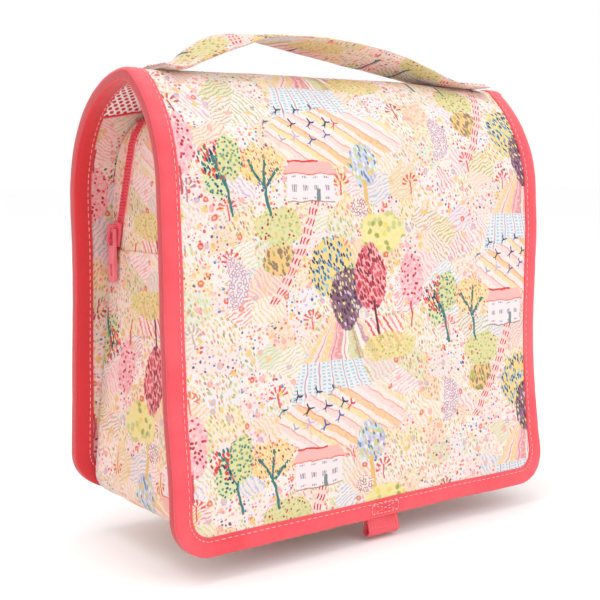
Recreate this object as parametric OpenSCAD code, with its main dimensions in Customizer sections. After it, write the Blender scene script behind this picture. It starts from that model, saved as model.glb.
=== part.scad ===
// Hanging toiletry bag: one padded wrap (back, arched top and front flap) bound in tape, with a zipped
// box compartment on the inner face of its back. The flap lifts, and the open bag hangs by the loop.
// Drawn with z = 0 at the flap's lower edge and y = 0 near mid-depth, then placed() moves the whole bag
// so that the origin is the middle of the handle's underside. +X is to the right, -Y is the flap's side.

/* [Wrap] */
// Width across the wrap, over its binding
wrap_w = 240; // [230:1:260]
// Outer skin of printed cotton
skin_t = 0.8; // [0.6:0.1:1]
// Wadding between the two skins
wadding_t = 2.4; // [1.6:0.2:2.8]
// Height where the back starts to curve forward
spring_z = 162; // [156:1:166]
// Radius of the curve at the back of the top
back_r = 59; // [56:1:60]
// Radius of the tight bend at the apex
apex_r = 12; // [11:1:14]
// Radius of the curve at the front of the top
front_r = 66; // [64:1:68]
// Lean of the flap from upright, in degrees
flap_lean = 2.8; // [2:0.2:3.4]
// Corner radius of the flap
flap_corner_r = 19; // [14:1:24]
// Lower edge of the back panel
back_foot_z = 10; // [9:1:12]

/* [Binding] */
// Visible width of the binding tape
binding_w = 9; // [7:0.5:11]
// Thickness of the binding tape
binding_t = 0.8; // [0.6:0.1:1]

/* [Compartment] */
// Half-width of the box at its base
box_base_x = 112.5; // [108:0.5:112.5]
// Half-width of the box at the seam below the zip
box_seam_x = 98.8; // [96:0.2:100]
// Half-width of the box at its top corners
box_top_x = 96.5; // [92:0.5:97]
// Height of the box floor
box_floor_z = 8; // [7:0.5:9]
// Height of the seam below the zip
seam_z = 135; // [130:1:138]
// Height of the box top
box_top_z = 210; // [207:0.5:210]
// Fabric of the box sides
box_skin_t = 1; // [0.8:0.1:1.2]
// Lining inside the box
box_lining_t = 0.6; // [0.4:0.1:0.8]

/* [Zip] */
// Width across the closed coil
coil_w = 6; // [5:0.5:7]
// Length of the slider
slider_l = 12; // [10:0.5:14]
// Length of the puller
puller_l = 27; // [22:1:30]

/* [Handle] */
// Width of the handle strap
strap_w = 24; // [20:1:28]
// Thickness of the handle strap
strap_t = 3; // [2.4:0.2:3.4]
// Half the span of the handle's free arch
arch_x = 80; // [70:1:84]
// Height of the middle of the arch's underside
grip_z = 233; // [232:0.5:236]

/* [Hang loop] */
// Width of the loop's webbing
loop_w = 20; // [15:1:25]
// Thickness of the loop's webbing
loop_t = 1; // [0.8:0.1:1.2]

/* [Hidden] */
cotton = "#f4e4d0";
lining_c = "#efdcc4";
coral = "#ee5f68";
pink = "#f58f92";
padding_c = "#f7f4ee";
mesh_c = "#fbf7f2";

big = 600;
eps = 0.01;
core_d = binding_t;
wadding_d = core_d + skin_t;
lining_d = wadding_d + wadding_t;
inner_d = lining_d + skin_t;
binding_in_d = inner_d + binding_t;
mesh_t = 0.8;
half_w = wrap_w / 2;
panel_x = half_w - binding_t;

// The wrap's outer profile: three tangent arcs between two straight runs, by angle of the normal
back_y = 50;
apex_end_a = 125;
flap_a = 180 - flap_lean;
back_c = [back_y - back_r, spring_z];
apex_c = back_c + [0, back_r - apex_r];
front_c = apex_c + (apex_r - front_r) * [cos(apex_end_a), sin(apex_end_a)];

// Where the wrap folds when it opens
top_fold_a = 45;
flap_fold_a = 150;
fold_gap_a = 0.2;
binding_gap_a = 2.4;
angle_step = 5;
// Blanks run on this far below z = 0 before they are cut to their outline
below = -20;

// Room between the wrap's inner face and the box
box_d = 8.4;
patch_t = 1.5;
patch_x = 50;
patch_w = 22;
patch_z = [20, 45];
mesh_foot_z = 62;
mesh_tape_h = 10;
board_t = 1.5;
board_d = 78;
board_gap = 14;
board_front_y = -36;
wall_t = box_skin_t + box_lining_t;
tape_half_w = 9;
seam_fold_t = 0.5;
seam_fold_h = 5.5;

// The zip's middle plane leans forward as it climbs
zip_y = 41;
zip_lean = 15.5;
coil_proud = 0.6;
slider_z = 143.4;
slider_w = 8;
slider_clear = 0.35;
slider_plate_t = 1.2;
plate_out = coil_proud + slider_clear + slider_plate_t;
side_lean = atan((box_seam_x - box_top_x) / (box_top_z - seam_z));
slider_x = -(box_seam_x - (slider_z - seam_z) * tan(side_lean));
slider_y = zip_y - (slider_z - seam_z) * tan(zip_lean);
pivot_out = 3.9;
pivot_up = 1.6;
puller_shift = 0.3;
bridge_t = 1;
post_w = 1.4;
post_h = 1.6;
post_z = 3.7;
puller_w = 6.4;
puller_t = 1.6;
puller_eye_end = 0.8;
ring_w = 4.2;
ring_l = 7.6;
slot_w = 2;
slot_l = 6;
stop_t = 0.9;
stop_h = 1.6;

grip_y = -10;
arch_rise = 3.5;
arch_r = (arch_x * arch_x + arch_rise * arch_rise) / (2 * arch_rise);
handle_skin_t = 0.6;
anchor_gap = 0.3;
anchor_end_x = 105;
anchor_foot_z = 210;
shoulder_w = 6;
shoulder_drop = 1.5;
loop_x = 2;
loop_half_d = 3.2;
loop_low_z = -10;
loop_high_z = -2.8;
loop_neck_h = 1.4;

// Angles from a0 to a1, stopping at every whole step between them
function steps(a0, a1) =
    let (first = floor(a0 / angle_step) + 1, last = ceil(a1 / angle_step) - 1)
    concat([a0], [for (i = [first:last]) i * angle_step], [a1]);
function unit(v) = v / norm(v);
function reversed(list) = [for (i = [len(list) - 1:-1:0]) list[i]];

// A point on the wrap's true arcs: normal angle a, d inside the outer profile
function arc_pt(a, d) =
    a <= 90 ? back_c + (back_r - d) * [cos(a), sin(a)]
    : a <= apex_end_a ? apex_c + (apex_r - d) * [cos(a), sin(a)]
    : front_c + (front_r - d) * [cos(a), sin(a)];
// The same point on the chords between whole steps, so that every layer and tape shares one set of planes
function wrap_pt(a, d) =
    let (a0 = floor(a / angle_step) * angle_step, part = (a - a0) / angle_step)
    a0 + angle_step > flap_a ? arc_pt(a, d) : arc_pt(a0, d) * (1 - part) + arc_pt(a0 + angle_step, d) * part;
// The section's point on the flap's straight run at height z
function flap_pt(z, d) = let (p = wrap_pt(flap_a, d)) [p[0] - (p[1] - z) * tan(flap_lean), z];
function back_path(d, foot, a1) = concat([[back_y - d, foot]], [for (a = steps(0, a1)) wrap_pt(a, d)]);
function top_path(d, a0, a1) = [for (a = steps(a0, a1)) wrap_pt(a, d)];
function flap_path(d, foot, a0) = concat([for (a = steps(a0, flap_a)) wrap_pt(a, d)], [flap_pt(foot, d)]);

// One corner of an outline, moved inwards by t; convex corners are rounded and others stay sharp
function corner(pts, i, t, r) =
    let (n = len(pts), q = pts[i], before = pts[(i + n - 1) % n], after = pts[(i + 1) % n])
    let (u = unit(before - q), v = unit(after - q), turn = sign(cross(q - before, after - q)))
    let (half = acos(u * v) / 2, bisector = unit(u + v), inset = q + turn * bisector * t / sin(half))
    r <= 0 ? [inset] : corner_arc(inset, u, v, half, bisector, r);
function corner_arc(inset, u, v, half, bisector, r) =
    let (c = inset + bisector * r / sin(half), from = inset + u * r / tan(half) - c)
    let (to = inset + v * r / tan(half) - c, a0 = atan2(from[1], from[0]), a1 = atan2(to[1], to[0]))
    let (sweep = a1 - a0 > 180 ? a1 - a0 - 360 : a1 - a0 < -180 ? a1 - a0 + 360 : a1 - a0)
    let (m = ceil(abs(sweep) / 15))
    [for (k = [0:m]) c + r * [cos(a0 + sweep * k / m), sin(a0 + sweep * k / m)]];
function rounded(pts, t, radii) = [for (i = [0:len(pts) - 1]) each corner(pts, i, t, radii[i])];

box_corners = [[-box_base_x, box_floor_z], [box_base_x, box_floor_z], [box_seam_x, seam_z],
    [box_top_x, box_top_z], [-box_top_x, box_top_z], [-box_seam_x, seam_z]];
box_radii = [12, 12, 0, 26, 26, 0];
function box_outline(t) = rounded(box_corners, t, [for (r = box_radii) r > 0 ? r - t : 0]);
function box_section(top_d, front_d) = concat(
    back_path(inner_d, 0, top_fold_a - 1),
    top_path(top_d, top_fold_a + 1, flap_fold_a - 8),
    flap_path(front_d, 0, flap_fold_a - 2));

module placed() {
    translate([0, -grip_y, -grip_z])
    children();
}

// A profile in Y and Z drawn out along X, centred
module across(w) {
    rotate([90, 0, 90])
    translate([0, 0, -w / 2])
    linear_extrude(w)
    children();
}

// An outline in X and Z drawn out along Y
module facing() {
    rotate([90, 0, 0])
    translate([0, 0, -big / 2])
    linear_extrude(big)
    children();
}

module layer(outer_path, inner_path, w) {
    across(w)
    polygon(concat(outer_path, reversed(inner_path)));
}

// A panel's outline: straight sides and two rounded lower corners
module foot_outline(x, foot, r) {
    translate([-x, foot + r])
    square([2 * x, big]);
    translate([-(x - r), foot])
    square([2 * (x - r), 2 * r]);
    for (side = [-1, 1])
        translate([side * (x - r), foot + r])
        circle(r, $fn = 96);
}

module back_layer(d0, d1) {
    intersection() {
        layer(back_path(d0, 0, top_fold_a - fold_gap_a), back_path(d1, 0, top_fold_a - fold_gap_a), wrap_w);
        facing()
        foot_outline(panel_x, back_foot_z + binding_t, flap_corner_r - binding_t);
    }
}

module top_layer(d0, d1, x) {
    a0 = top_fold_a + fold_gap_a;
    a1 = flap_fold_a - fold_gap_a;
    layer(top_path(d0, a0, a1), top_path(d1, a0, a1), 2 * x);
}

module flap_layer(d0, d1, x, inset) {
    a0 = flap_fold_a + fold_gap_a;
    intersection() {
        layer(flap_path(d0, below, a0), flap_path(d1, below, a0), 2 * x);
        facing()
        foot_outline(x, inset, max(1, flap_corner_r - inset));
    }
}

// A tape folded over the edge of a panel: its blank less the panel and less the field inside it
module bound_edge(foot, r) {
    difference() {
        intersection() {
            children(0);
            facing()
            foot_outline(half_w, foot, r);
        }
        intersection() {
            children(1);
            facing()
            foot_outline(panel_x, foot + binding_t, r - binding_t);
        }
        facing()
        foot_outline(half_w - binding_w, foot + binding_w, r - binding_w);
    }
}

module back_outer_fabric() {
    color(cotton)
    placed()
    back_layer(core_d, wadding_d);
}

module back_wadding() {
    color(padding_c)
    placed()
    back_layer(wadding_d, lining_d);
}

module back_lining() {
    color(lining_c)
    placed()
    back_layer(lining_d, inner_d);
}

module back_binding() {
    a1 = top_fold_a - binding_gap_a;
    a2 = top_fold_a;
    color(coral)
    placed()
    bound_edge(back_foot_z, flap_corner_r) {
        layer(back_path(0, 0, a1), back_path(binding_in_d, 0, a1), wrap_w);
        layer(back_path(core_d, -1, a2), back_path(inner_d, -1, a2), wrap_w);
    }
}

module top_outer_fabric() {
    color(cotton)
    placed()
    top_layer(core_d, wadding_d, panel_x);
}

module top_wadding() {
    color(padding_c)
    placed()
    top_layer(wadding_d, lining_d, panel_x);
}

module top_backing() {
    color(coral)
    placed()
    top_layer(lining_d, inner_d, panel_x);
}

// One binding tape down each side of the top
module top_bindings() {
    a0 = top_fold_a + binding_gap_a;
    a1 = flap_fold_a - binding_gap_a;
    color(coral)
    placed()
    difference() {
        layer(top_path(0, a0, a1), top_path(binding_in_d, a0, a1), wrap_w);
        layer(top_path(core_d, a0 - 1, a1 + 1), top_path(inner_d, a0 - 1, a1 + 1), 2 * panel_x);
        facing()
        square([2 * (half_w - binding_w), big], center = true);
    }
}

module top_mesh() {
    color(mesh_c)
    placed()
    top_layer(inner_d, inner_d + mesh_t, half_w - binding_w);
}

module flap_outer_fabric() {
    color(cotton)
    placed()
    flap_layer(core_d, wadding_d, panel_x, binding_t);
}

module flap_wadding() {
    color(padding_c)
    placed()
    flap_layer(wadding_d, lining_d, panel_x, binding_t);
}

module flap_backing() {
    color(coral)
    placed()
    flap_layer(lining_d, inner_d, panel_x, binding_t);
}

module flap_binding() {
    a0 = flap_fold_a + binding_gap_a;
    color(coral)
    placed()
    bound_edge(0, flap_corner_r) {
        layer(flap_path(0, below, a0), flap_path(binding_in_d, below, a0), wrap_w);
        layer(flap_path(core_d, below - 1, flap_fold_a), flap_path(inner_d, below - 1, flap_fold_a), wrap_w);
    }
}

// The mesh pocket's sheet, from the flap's fold down to its own bound lower edge
module flap_mesh() {
    color(mesh_c)
    placed()
    intersection() {
        flap_layer(inner_d, inner_d + mesh_t, half_w - binding_w, 0);
        translate([-big / 2, -big / 2, mesh_foot_z + mesh_tape_h])
        cube(big);
    }
}

module flap_mesh_tape() {
    color(coral)
    placed()
    intersection() {
        flap_layer(inner_d, inner_d + mesh_t, half_w - binding_w, 0);
        translate([-big / 2, -big / 2, mesh_foot_z])
        cube([big, big, mesh_tape_h]);
    }
}

module patch_columns() {
    for (side = [-1, 1])
        translate([side * patch_x - patch_w / 2, -big / 2, patch_z[0]])
        cube([patch_w, big, patch_z[1] - patch_z[0]]);
}

module flap_closure_patches() {
    color(pink)
    placed()
    intersection() {
        flap_layer(inner_d, inner_d + patch_t, half_w, 0);
        patch_columns();
    }
}

module box_closure_patches() {
    color(pink)
    placed()
    intersection() {
        flap_layer(box_d - patch_t, box_d, half_w, 0);
        patch_columns();
    }
}

// A layer of the box's front panel, between depths d0 and d1 behind its face, moved in by t at its rim
module front_layer(d0, d1, t) {
    a0 = flap_fold_a - 2;
    intersection() {
        layer(flap_path(box_d + d0, 0, a0), flap_path(box_d + d1, 0, a0), big);
        facing()
        polygon(box_outline(t));
    }
}

// The box as a solid, its sides and top moved in by t and its front by front_t; its back is the wrap's
module box_solid(t, front_t) {
    intersection() {
        facing()
        polygon(box_outline(t));
        across(big)
        polygon(box_section(box_d + t, box_d + front_t));
    }
}

module box_wall(t0, t1) {
    difference() {
        box_solid(t0, box_skin_t);
        box_solid(t1, -box_skin_t);
    }
}

module above_seam() {
    translate([-big / 2, -big / 2, seam_z])
    cube(big);
}

module below_seam() {
    translate([-big / 2, -big / 2, seam_z - big])
    cube(big);
}

// The zip's plane region: everything between distances y0 and y1 from the zip's middle plane
module zip_band(y0, y1) {
    translate([0, zip_y, seam_z])
    rotate([zip_lean, 0, 0])
    translate([-big / 2, y0, -1])
    cube([big, y1 - y0, big / 2]);
}

// Cuts away what would lie in the tape folded over the back panel's lower edge
module clear_of_binding() {
    difference() {
        children();
        difference() {
            translate([-big / 2, back_y - binding_in_d, -big / 2])
            cube([big, back_y, big]);
            facing()
            foot_outline(half_w - binding_w, back_foot_z + binding_w, flap_corner_r - binding_w);
        }
    }
}

module lower_gusset() {
    color(cotton)
    placed()
    clear_of_binding()
    intersection() {
        union() {
            box_wall(0, box_skin_t);
            intersection() {
                box_wall(-seam_fold_t, box_skin_t);
                translate([-big / 2, -big / 2, seam_z - seam_fold_h])
                cube(big);
            }
        }
        below_seam();
    }
}

module upper_gusset_strip(y0, y1) {
    intersection() {
        box_wall(0, box_skin_t);
        above_seam();
        zip_band(y0, y1);
    }
}

module front_zip_gusset() {
    color(cotton)
    placed()
    upper_gusset_strip(-big / 2, -coil_w / 2);
}

module rear_zip_gusset() {
    color(cotton)
    placed()
    upper_gusset_strip(coil_w / 2, big / 2);
}

module zip_coil() {
    color(coral)
    placed()
    intersection() {
        box_wall(-coil_proud, box_skin_t);
        above_seam();
        zip_band(-coil_w / 2, coil_w / 2);
    }
}

module zip_tape() {
    color(pink)
    placed()
    intersection() {
        box_wall(box_skin_t, wall_t);
        above_seam();
        zip_band(-tape_half_w, tape_half_w);
    }
}

// A moulded stop at each end of the zip, just above the seam
module zip_end_stops() {
    color(coral)
    placed()
    for (side = [-1, 1])
        translate([side * (box_seam_x + coil_proud + stop_t / 2), zip_y, seam_z + stop_h / 2])
        rotate([zip_lean, 0, 0])
        cube([stop_t, coil_w, stop_h], center = true);
}

module compartment_lining() {
    color(lining_c)
    placed() {
        clear_of_binding()
        difference() {
            box_wall(box_skin_t, wall_t);
            intersection() {
                above_seam();
                zip_band(-tape_half_w, tape_half_w);
            }
        }
        front_layer(box_skin_t + wadding_t, wall_t + wadding_t, wall_t);
    }
}

module front_panel_fabric() {
    color(cotton)
    placed()
    front_layer(0, box_skin_t, 0);
}

module front_panel_wadding() {
    color(padding_c)
    placed()
    front_layer(box_skin_t, box_skin_t + wadding_t, wall_t);
}

// The stiff board that keeps the floor of the box flat
module base_board() {
    half_board = box_base_x - board_gap;
    color(padding_c)
    placed()
    translate([-half_board, board_front_y, box_floor_z + wall_t])
    cube([2 * half_board, board_d, board_t]);
}

// The slider's own frame: x outwards from the left side of the box, z up along the zip
module on_slider() {
    translate([slider_x, slider_y, slider_z])
    rotate([zip_lean, 0, 0])
    rotate([0, side_lean, 0])
    children();
}

// The slider's body over the coil, wide where the two rows part and narrow where they are closed
module slider_plate() {
    l = slider_l / 2;
    w = slider_w / 2;
    rotate([0, -90, 0])
    linear_extrude(slider_plate_t)
    polygon([[-l, -w], [-l, w], [0, w], [l, w - 1], [l, 1 - w], [0, -w]]);
}

// The bridge that carries the puller: two posts and a bar over them
module slider_bridge() {
    reach = pivot_out - plate_out + bridge_t + puller_t;
    for (end = [-1, 1])
        translate([-reach, -post_w / 2, end * post_z - post_h / 2])
        cube([reach + eps, post_w, post_h]);
    translate([-reach, -post_w / 2, -post_z])
    cube([bridge_t, post_w, 2 * post_z]);
}

module zip_slider() {
    color(coral)
    placed()
    on_slider() {
        translate([slider_plate_t - plate_out, 0, 0])
        slider_plate();
        translate([-plate_out, 0, 0])
        slider_bridge();
    }
}

// The puller hangs from the slider's bridge: a long ring round its lower post, and a slot near the end
module zip_puller() {
    w = puller_w / 2;
    tip = puller_l - puller_eye_end;
    color(pink)
    placed()
    translate([slider_x - pivot_out, slider_y + puller_shift, slider_z + pivot_up * cos(zip_lean)])
    rotate([0, -90, 0])
    translate([0, 0, -puller_t / 2])
    linear_extrude(puller_t)
    difference() {
        union() {
            translate([-tip + w, -w])
            square([tip - w + puller_eye_end, puller_w]);
            translate([-tip + w, 0])
            circle(w, $fn = 48);
        }
        translate([-ring_l, -ring_w / 2])
        square([ring_l - puller_eye_end, ring_w]);
        translate([-tip + w, -slot_w / 2])
        square([slot_l, slot_w]);
    }
}

function arch_under(x) = grip_z - arch_r + sqrt(arch_r * arch_r - x * x);
function arch_xs(x0, x1) = let (n = 16) [for (i = [0:n]) x0 + (x1 - x0) * i / n];

// A layer of the handle's free arch, between heights t0 and t1 above its underside
module arch_layer(t0, t1, w) {
    xs = arch_xs(-arch_x + anchor_gap, arch_x - anchor_gap);
    translate([0, grip_y, 0])
    rotate([90, 0, 0])
    translate([0, 0, -w / 2])
    linear_extrude(w)
    polygon(concat([for (x = xs) [x, arch_under(x) + t0]], reversed([for (x = xs) [x, arch_under(x) + t1]])));
}

module handle_outer_fabric() {
    color(cotton)
    placed()
    arch_layer(strap_t - handle_skin_t, strap_t, strap_w);
}

module handle_webbing() {
    color(padding_c)
    placed()
    arch_layer(handle_skin_t, strap_t - handle_skin_t, strap_w);
}

module handle_lining() {
    color(cotton)
    placed()
    arch_layer(0, handle_skin_t, strap_w);
}

// The two ends of the handle, sewn down on the top of the wrap
module handle_ends() {
    top_z = arch_under(arch_x) + strap_t;
    color(cotton)
    placed()
    difference() {
        for (flip = [0, 1])
            mirror([flip, 0, 0])
            translate([0, grip_y, 0])
            rotate([90, 0, 0])
            translate([0, 0, -strap_w / 2])
            linear_extrude(strap_w)
            polygon([[arch_x, anchor_foot_z], [arch_x, top_z], [arch_x + shoulder_w, top_z - shoulder_drop],
                [anchor_end_x, wrap_pt(90, core_d)[1] + 1], [anchor_end_x, anchor_foot_z]]);
        across(big)
        polygon(concat([[back_y, 0]], top_path(core_d, 0, flap_fold_a), [[-back_y, 0]]));
    }
}

module hang_loop() {
    foot_y = (flap_pt(0, 0)[0] + flap_pt(0, binding_in_d)[0]) / 2;
    half_in = loop_half_d - loop_t;
    color(coral)
    placed()
    translate([loop_x, foot_y, 0])
    across(loop_w)
    difference() {
        union() {
            translate([-loop_half_d, loop_low_z])
            square([2 * loop_half_d, loop_high_z - loop_low_z - loop_t]);
            translate([-half_in, loop_high_z - 2 * loop_t])
            square([2 * half_in, 2 * loop_t]);
            for (side = [-1, 1])
                translate([side * half_in, loop_high_z - loop_t])
                circle(loop_t, $fn = 32);
            translate([-loop_t, loop_high_z - eps])
            square([2 * loop_t, loop_neck_h]);
        }
        translate([-half_in, loop_low_z + loop_t])
        square([2 * half_in, loop_high_z - loop_low_z - 2 * loop_t]);
    }
}

back_outer_fabric();
back_wadding();
back_lining();
back_binding();
top_outer_fabric();
top_wadding();
top_backing();
top_bindings();
top_mesh();
flap_outer_fabric();
flap_wadding();
flap_backing();
flap_binding();
flap_mesh();
flap_mesh_tape();
flap_closure_patches();
box_closure_patches();
lower_gusset();
front_zip_gusset();
rear_zip_gusset();
zip_coil();
zip_tape();
zip_end_stops();
compartment_lining();
front_panel_fabric();
front_panel_wadding();
base_board();
zip_slider();
zip_puller();
handle_outer_fabric();
handle_webbing();
handle_lining();
handle_ends();
hang_loop();
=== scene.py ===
"""The looks of the hanging toiletry bag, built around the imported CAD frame.

Lengths are in millimetres in the bag's own axes: z = 0 at the flap's lower edge, y = 0 near mid-depth,
and +X to the right. put() turns them into the row frame in metres.
"""
import math

import bmesh
import bpy
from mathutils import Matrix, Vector, noise


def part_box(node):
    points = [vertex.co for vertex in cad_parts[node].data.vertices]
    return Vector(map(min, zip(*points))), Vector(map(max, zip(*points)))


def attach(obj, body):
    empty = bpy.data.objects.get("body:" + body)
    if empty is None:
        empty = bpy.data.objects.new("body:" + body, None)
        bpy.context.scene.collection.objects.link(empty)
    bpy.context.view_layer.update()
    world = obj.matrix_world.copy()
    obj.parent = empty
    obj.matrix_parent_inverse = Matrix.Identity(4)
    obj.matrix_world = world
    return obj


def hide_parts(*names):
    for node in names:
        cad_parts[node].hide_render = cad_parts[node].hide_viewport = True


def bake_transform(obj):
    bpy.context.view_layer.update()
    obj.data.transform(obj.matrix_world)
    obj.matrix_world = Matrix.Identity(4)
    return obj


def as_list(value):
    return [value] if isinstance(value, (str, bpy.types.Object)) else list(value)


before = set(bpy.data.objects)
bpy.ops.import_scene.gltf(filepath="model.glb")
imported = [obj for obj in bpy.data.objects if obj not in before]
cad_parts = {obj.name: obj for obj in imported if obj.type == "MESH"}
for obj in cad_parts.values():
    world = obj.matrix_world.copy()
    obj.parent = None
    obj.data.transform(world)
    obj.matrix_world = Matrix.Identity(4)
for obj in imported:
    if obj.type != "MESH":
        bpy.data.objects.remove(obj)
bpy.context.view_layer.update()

MM = 0.001
BACK_Y = 50.0
ORIGIN_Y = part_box("back_binding")[1].y / MM - BACK_Y
ORIGIN_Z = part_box("flap_binding")[0].z / MM
HALF_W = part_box("flap_binding")[1].x / MM
BACK_FOOT_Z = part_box("back_binding")[0].z / MM - ORIGIN_Z
LOOP_LOW, LOOP_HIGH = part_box("hang_loop")
LOOP_X = (LOOP_LOW.x + LOOP_HIGH.x) / 2 / MM

# The wrap's outer profile, as in the CAD: a straight back, three arcs and a leaning flap
SPRING_Z = 162.0
BACK_R = 59.0
APEX_R = 12.0
FRONT_R = 66.0
APEX_END = math.radians(125)
FLAP_LEAN = math.radians(2.8)
FLAP_END = math.pi - FLAP_LEAN
BACK_C = (BACK_Y - BACK_R, SPRING_Z)
APEX_C = (BACK_C[0], SPRING_Z + BACK_R - APEX_R)
FRONT_C = (
    APEX_C[0] + (APEX_R - FRONT_R) * math.cos(APEX_END),
    APEX_C[1] + (APEX_R - FRONT_R) * math.sin(APEX_END),
)
S_SPRING = SPRING_Z - BACK_FOOT_Z
S_TOP = S_SPRING + BACK_R * math.pi / 2
S_APEX = S_TOP + APEX_R * (APEX_END - math.pi / 2)
S_FRONT = S_APEX + FRONT_R * (FLAP_END - APEX_END)
S_END = S_FRONT + (FRONT_C[1] + FRONT_R * math.sin(FLAP_END)) / math.cos(FLAP_LEAN)
S_MID = S_TOP + 1.5
CORNER_R = 19.0

# Depths inside the outer profile
FABRIC_D = 0.8
INNER_D = 4.8
MID_D = 2.8

# The box compartment
BOX_D = 8.4
BASE_X = 112.5
SEAM_X = 98.8
TOP_X = 96.5
FLOOR_Z = 8.0
SEAM_Z = 135.0
BOX_TOP_Z = 210.0
TOP_R = 26.0
FLOOR_R = 12.0
SOFT_EDGE = 3.0
TOP_FOLD = math.radians(45)
GUSSET_U = 1.0
LOWER_V = 62.0
UPPER_V = 100.0
ZIP_GAP = 4.0
FOLD_H = 5.5
ZIP_Y = 41.0
ZIP_LEAN = math.radians(15.5)
ZIP_TAPE_W = 9.0
TOOTH_PITCH = 1.7
TOOTH_R = 0.62


def put(x, y, z):
    return Vector((x * MM, (y + ORIGIN_Y) * MM, (z + ORIGIN_Z) * MM))


def clamp(t):
    return max(0.0, min(1.0, t))


def ease(t, low=0.0, high=1.0):
    t = clamp((t - low) / (high - low))
    return t * t * (3 - 2 * t)


def bump(t, centre, width):
    return math.exp(-((t - centre) / width) ** 2)


def ripple(x, y, z, size):
    """Smooth noise from -1 to 1 that changes over about size millimetres."""
    return noise.noise(Vector((x, y, z)) / size)


# ---------------------------------------------------------------- the wrap's surface


def profile(s):
    """Point and outward normal of the wrap's outer profile, s millimetres along it from the back's foot."""
    if s < S_SPRING:
        return BACK_Y, BACK_FOOT_Z + s, 1.0, 0.0
    for start, end, first, centre, r in (
        (S_SPRING, S_TOP, 0.0, BACK_C, BACK_R),
        (S_TOP, S_APEX, math.pi / 2, APEX_C, APEX_R),
        (S_APEX, S_FRONT, APEX_END, FRONT_C, FRONT_R),
    ):
        if s < end:
            a = first + (s - start) / r
            return centre[0] + r * math.cos(a), centre[1] + r * math.sin(a), math.cos(a), math.sin(a)
    ny, nz = math.cos(FLAP_END), math.sin(FLAP_END)
    run = s - S_FRONT
    y = FRONT_C[0] + FRONT_R * ny - run * math.sin(FLAP_LEAN)
    z = FRONT_C[1] + FRONT_R * nz - run * math.cos(FLAP_LEAN)
    return y, z, ny, nz


def slack(x, s):
    """How far the real, soft wrap stands off its designed profile, along the normal."""
    across = abs(x) / HALF_W
    edge = ease(across, 0.8, 1.0)
    crown = 2.4 * (1 - across * across) * bump(s, S_TOP, 42)
    down = (s - S_FRONT) / (S_END - S_FRONT)
    flap = 0.0
    if s > S_APEX:
        flap += 2.6 * (1 - across * across) * bump(down, 0.45, 0.35)
        flap -= 2.8 * edge * bump(down, 0.5, 0.28)
        flap += 2.2 * ease(down, 0.8, 1.0) * ease(x / HALF_W, 0.35, 0.95)
    if s < S_SPRING:
        flap += 6.0 * edge * ease(1 - s / S_SPRING, 0.25, 1.0)
    soft = 0.7 * ripple(x, s, 3.0, 55) + 0.35 * ripple(x, s, 9.0, 21)
    return crown + flap + soft


def sideways(x, s):
    """Small shifts along X, where the right edge of the flap waves in and out."""
    down = (s - S_APEX) / (S_END - S_APEX)
    if down <= 0:
        return 0.0
    right = ease(x / HALF_W, 0.2, 1.0)
    left = ease(-x / HALF_W, 0.2, 1.0)
    wave = -2.4 * bump(down, 0.12, 0.16) - 1.9 * bump(down, 0.72, 0.2)
    return right * wave + left * 0.8 * bump(down, 0.8, 0.2)


def on_wrap(x, s, d):
    """The point of the wrap x across, s along it and d inside its outer profile."""
    y, z, ny, nz = profile(s)
    h = slack(x, s) - d
    return put(x + sideways(x, s), y + ny * h, z + nz * h)


def foot_half(inset, s, foot, r):
    """Half-width of a panel with rounded lower corners, at s, where foot is the s of its lower edge."""
    gap = abs(s - foot) - inset
    half = HALF_W - inset
    if gap >= r - inset:
        return half
    rr = r - inset
    return half - rr + math.sqrt(max(0.0, rr * rr - (rr - gap) ** 2))


# ---------------------------------------------------------------- mesh helpers

SHARP_ANGLE = math.radians(52)


def make(name, verts, faces, smooth=True, uvs=None, groups=None):
    """A mesh object. uvs is one (u, v) per vertex in metres; groups is one material index per face."""
    mesh = bpy.data.meshes.new(name)
    mesh.from_pydata([tuple(v) for v in verts], [], faces)
    mesh.polygons.foreach_set("use_smooth", [smooth] * len(mesh.polygons))
    if groups:
        mesh.polygons.foreach_set("material_index", groups)
    if uvs:
        layer = mesh.uv_layers.new(name="fabric")
        for loop in mesh.loops:
            layer.data[loop.index].uv = uvs[loop.vertex_index]
    obj = bpy.data.objects.new(name, mesh)
    bpy.context.scene.collection.objects.link(obj)
    return obj


def tidy(obj):
    """Merges doubled points, turns every face outwards and marks the sharp edges."""
    work = bmesh.new()
    work.from_mesh(obj.data)
    bmesh.ops.remove_doubles(work, verts=work.verts, dist=1e-6)
    bmesh.ops.recalc_face_normals(work, faces=work.faces)
    for edge in work.edges:
        if len(edge.link_faces) == 2 and edge.calc_face_angle() > SHARP_ANGLE:
            edge.smooth = False
    work.to_mesh(obj.data)
    work.free()
    return obj


def grid_faces(rows, columns, start=0, wrap_columns=False):
    """Faces of a grid of points that are numbered row by row from start."""
    faces = []
    for i in range(rows - 1):
        for j in range(columns if wrap_columns else columns - 1):
            a = start + i * columns + j
            b = start + i * columns + (j + 1) % columns
            c = start + (i + 1) * columns + (j + 1) % columns
            e = start + (i + 1) * columns + j
            faces.append((a, b, c, e))
    return faces


def spaced(start, end, step):
    n = max(1, round(abs(end - start) / step))
    return [start + (end - start) * i / n for i in range(n + 1)]


def eased_rows(foot, end, r, step):
    """Rows from a foot to an end, closer together round the foot's rounded corners."""
    sign = 1 if end > foot else -1
    turns = 9
    near = [foot + sign * r * (1 - math.cos(math.pi / 2 * i / turns)) for i in range(turns)]
    return near + spaced(foot + sign * r, end, step)


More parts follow.
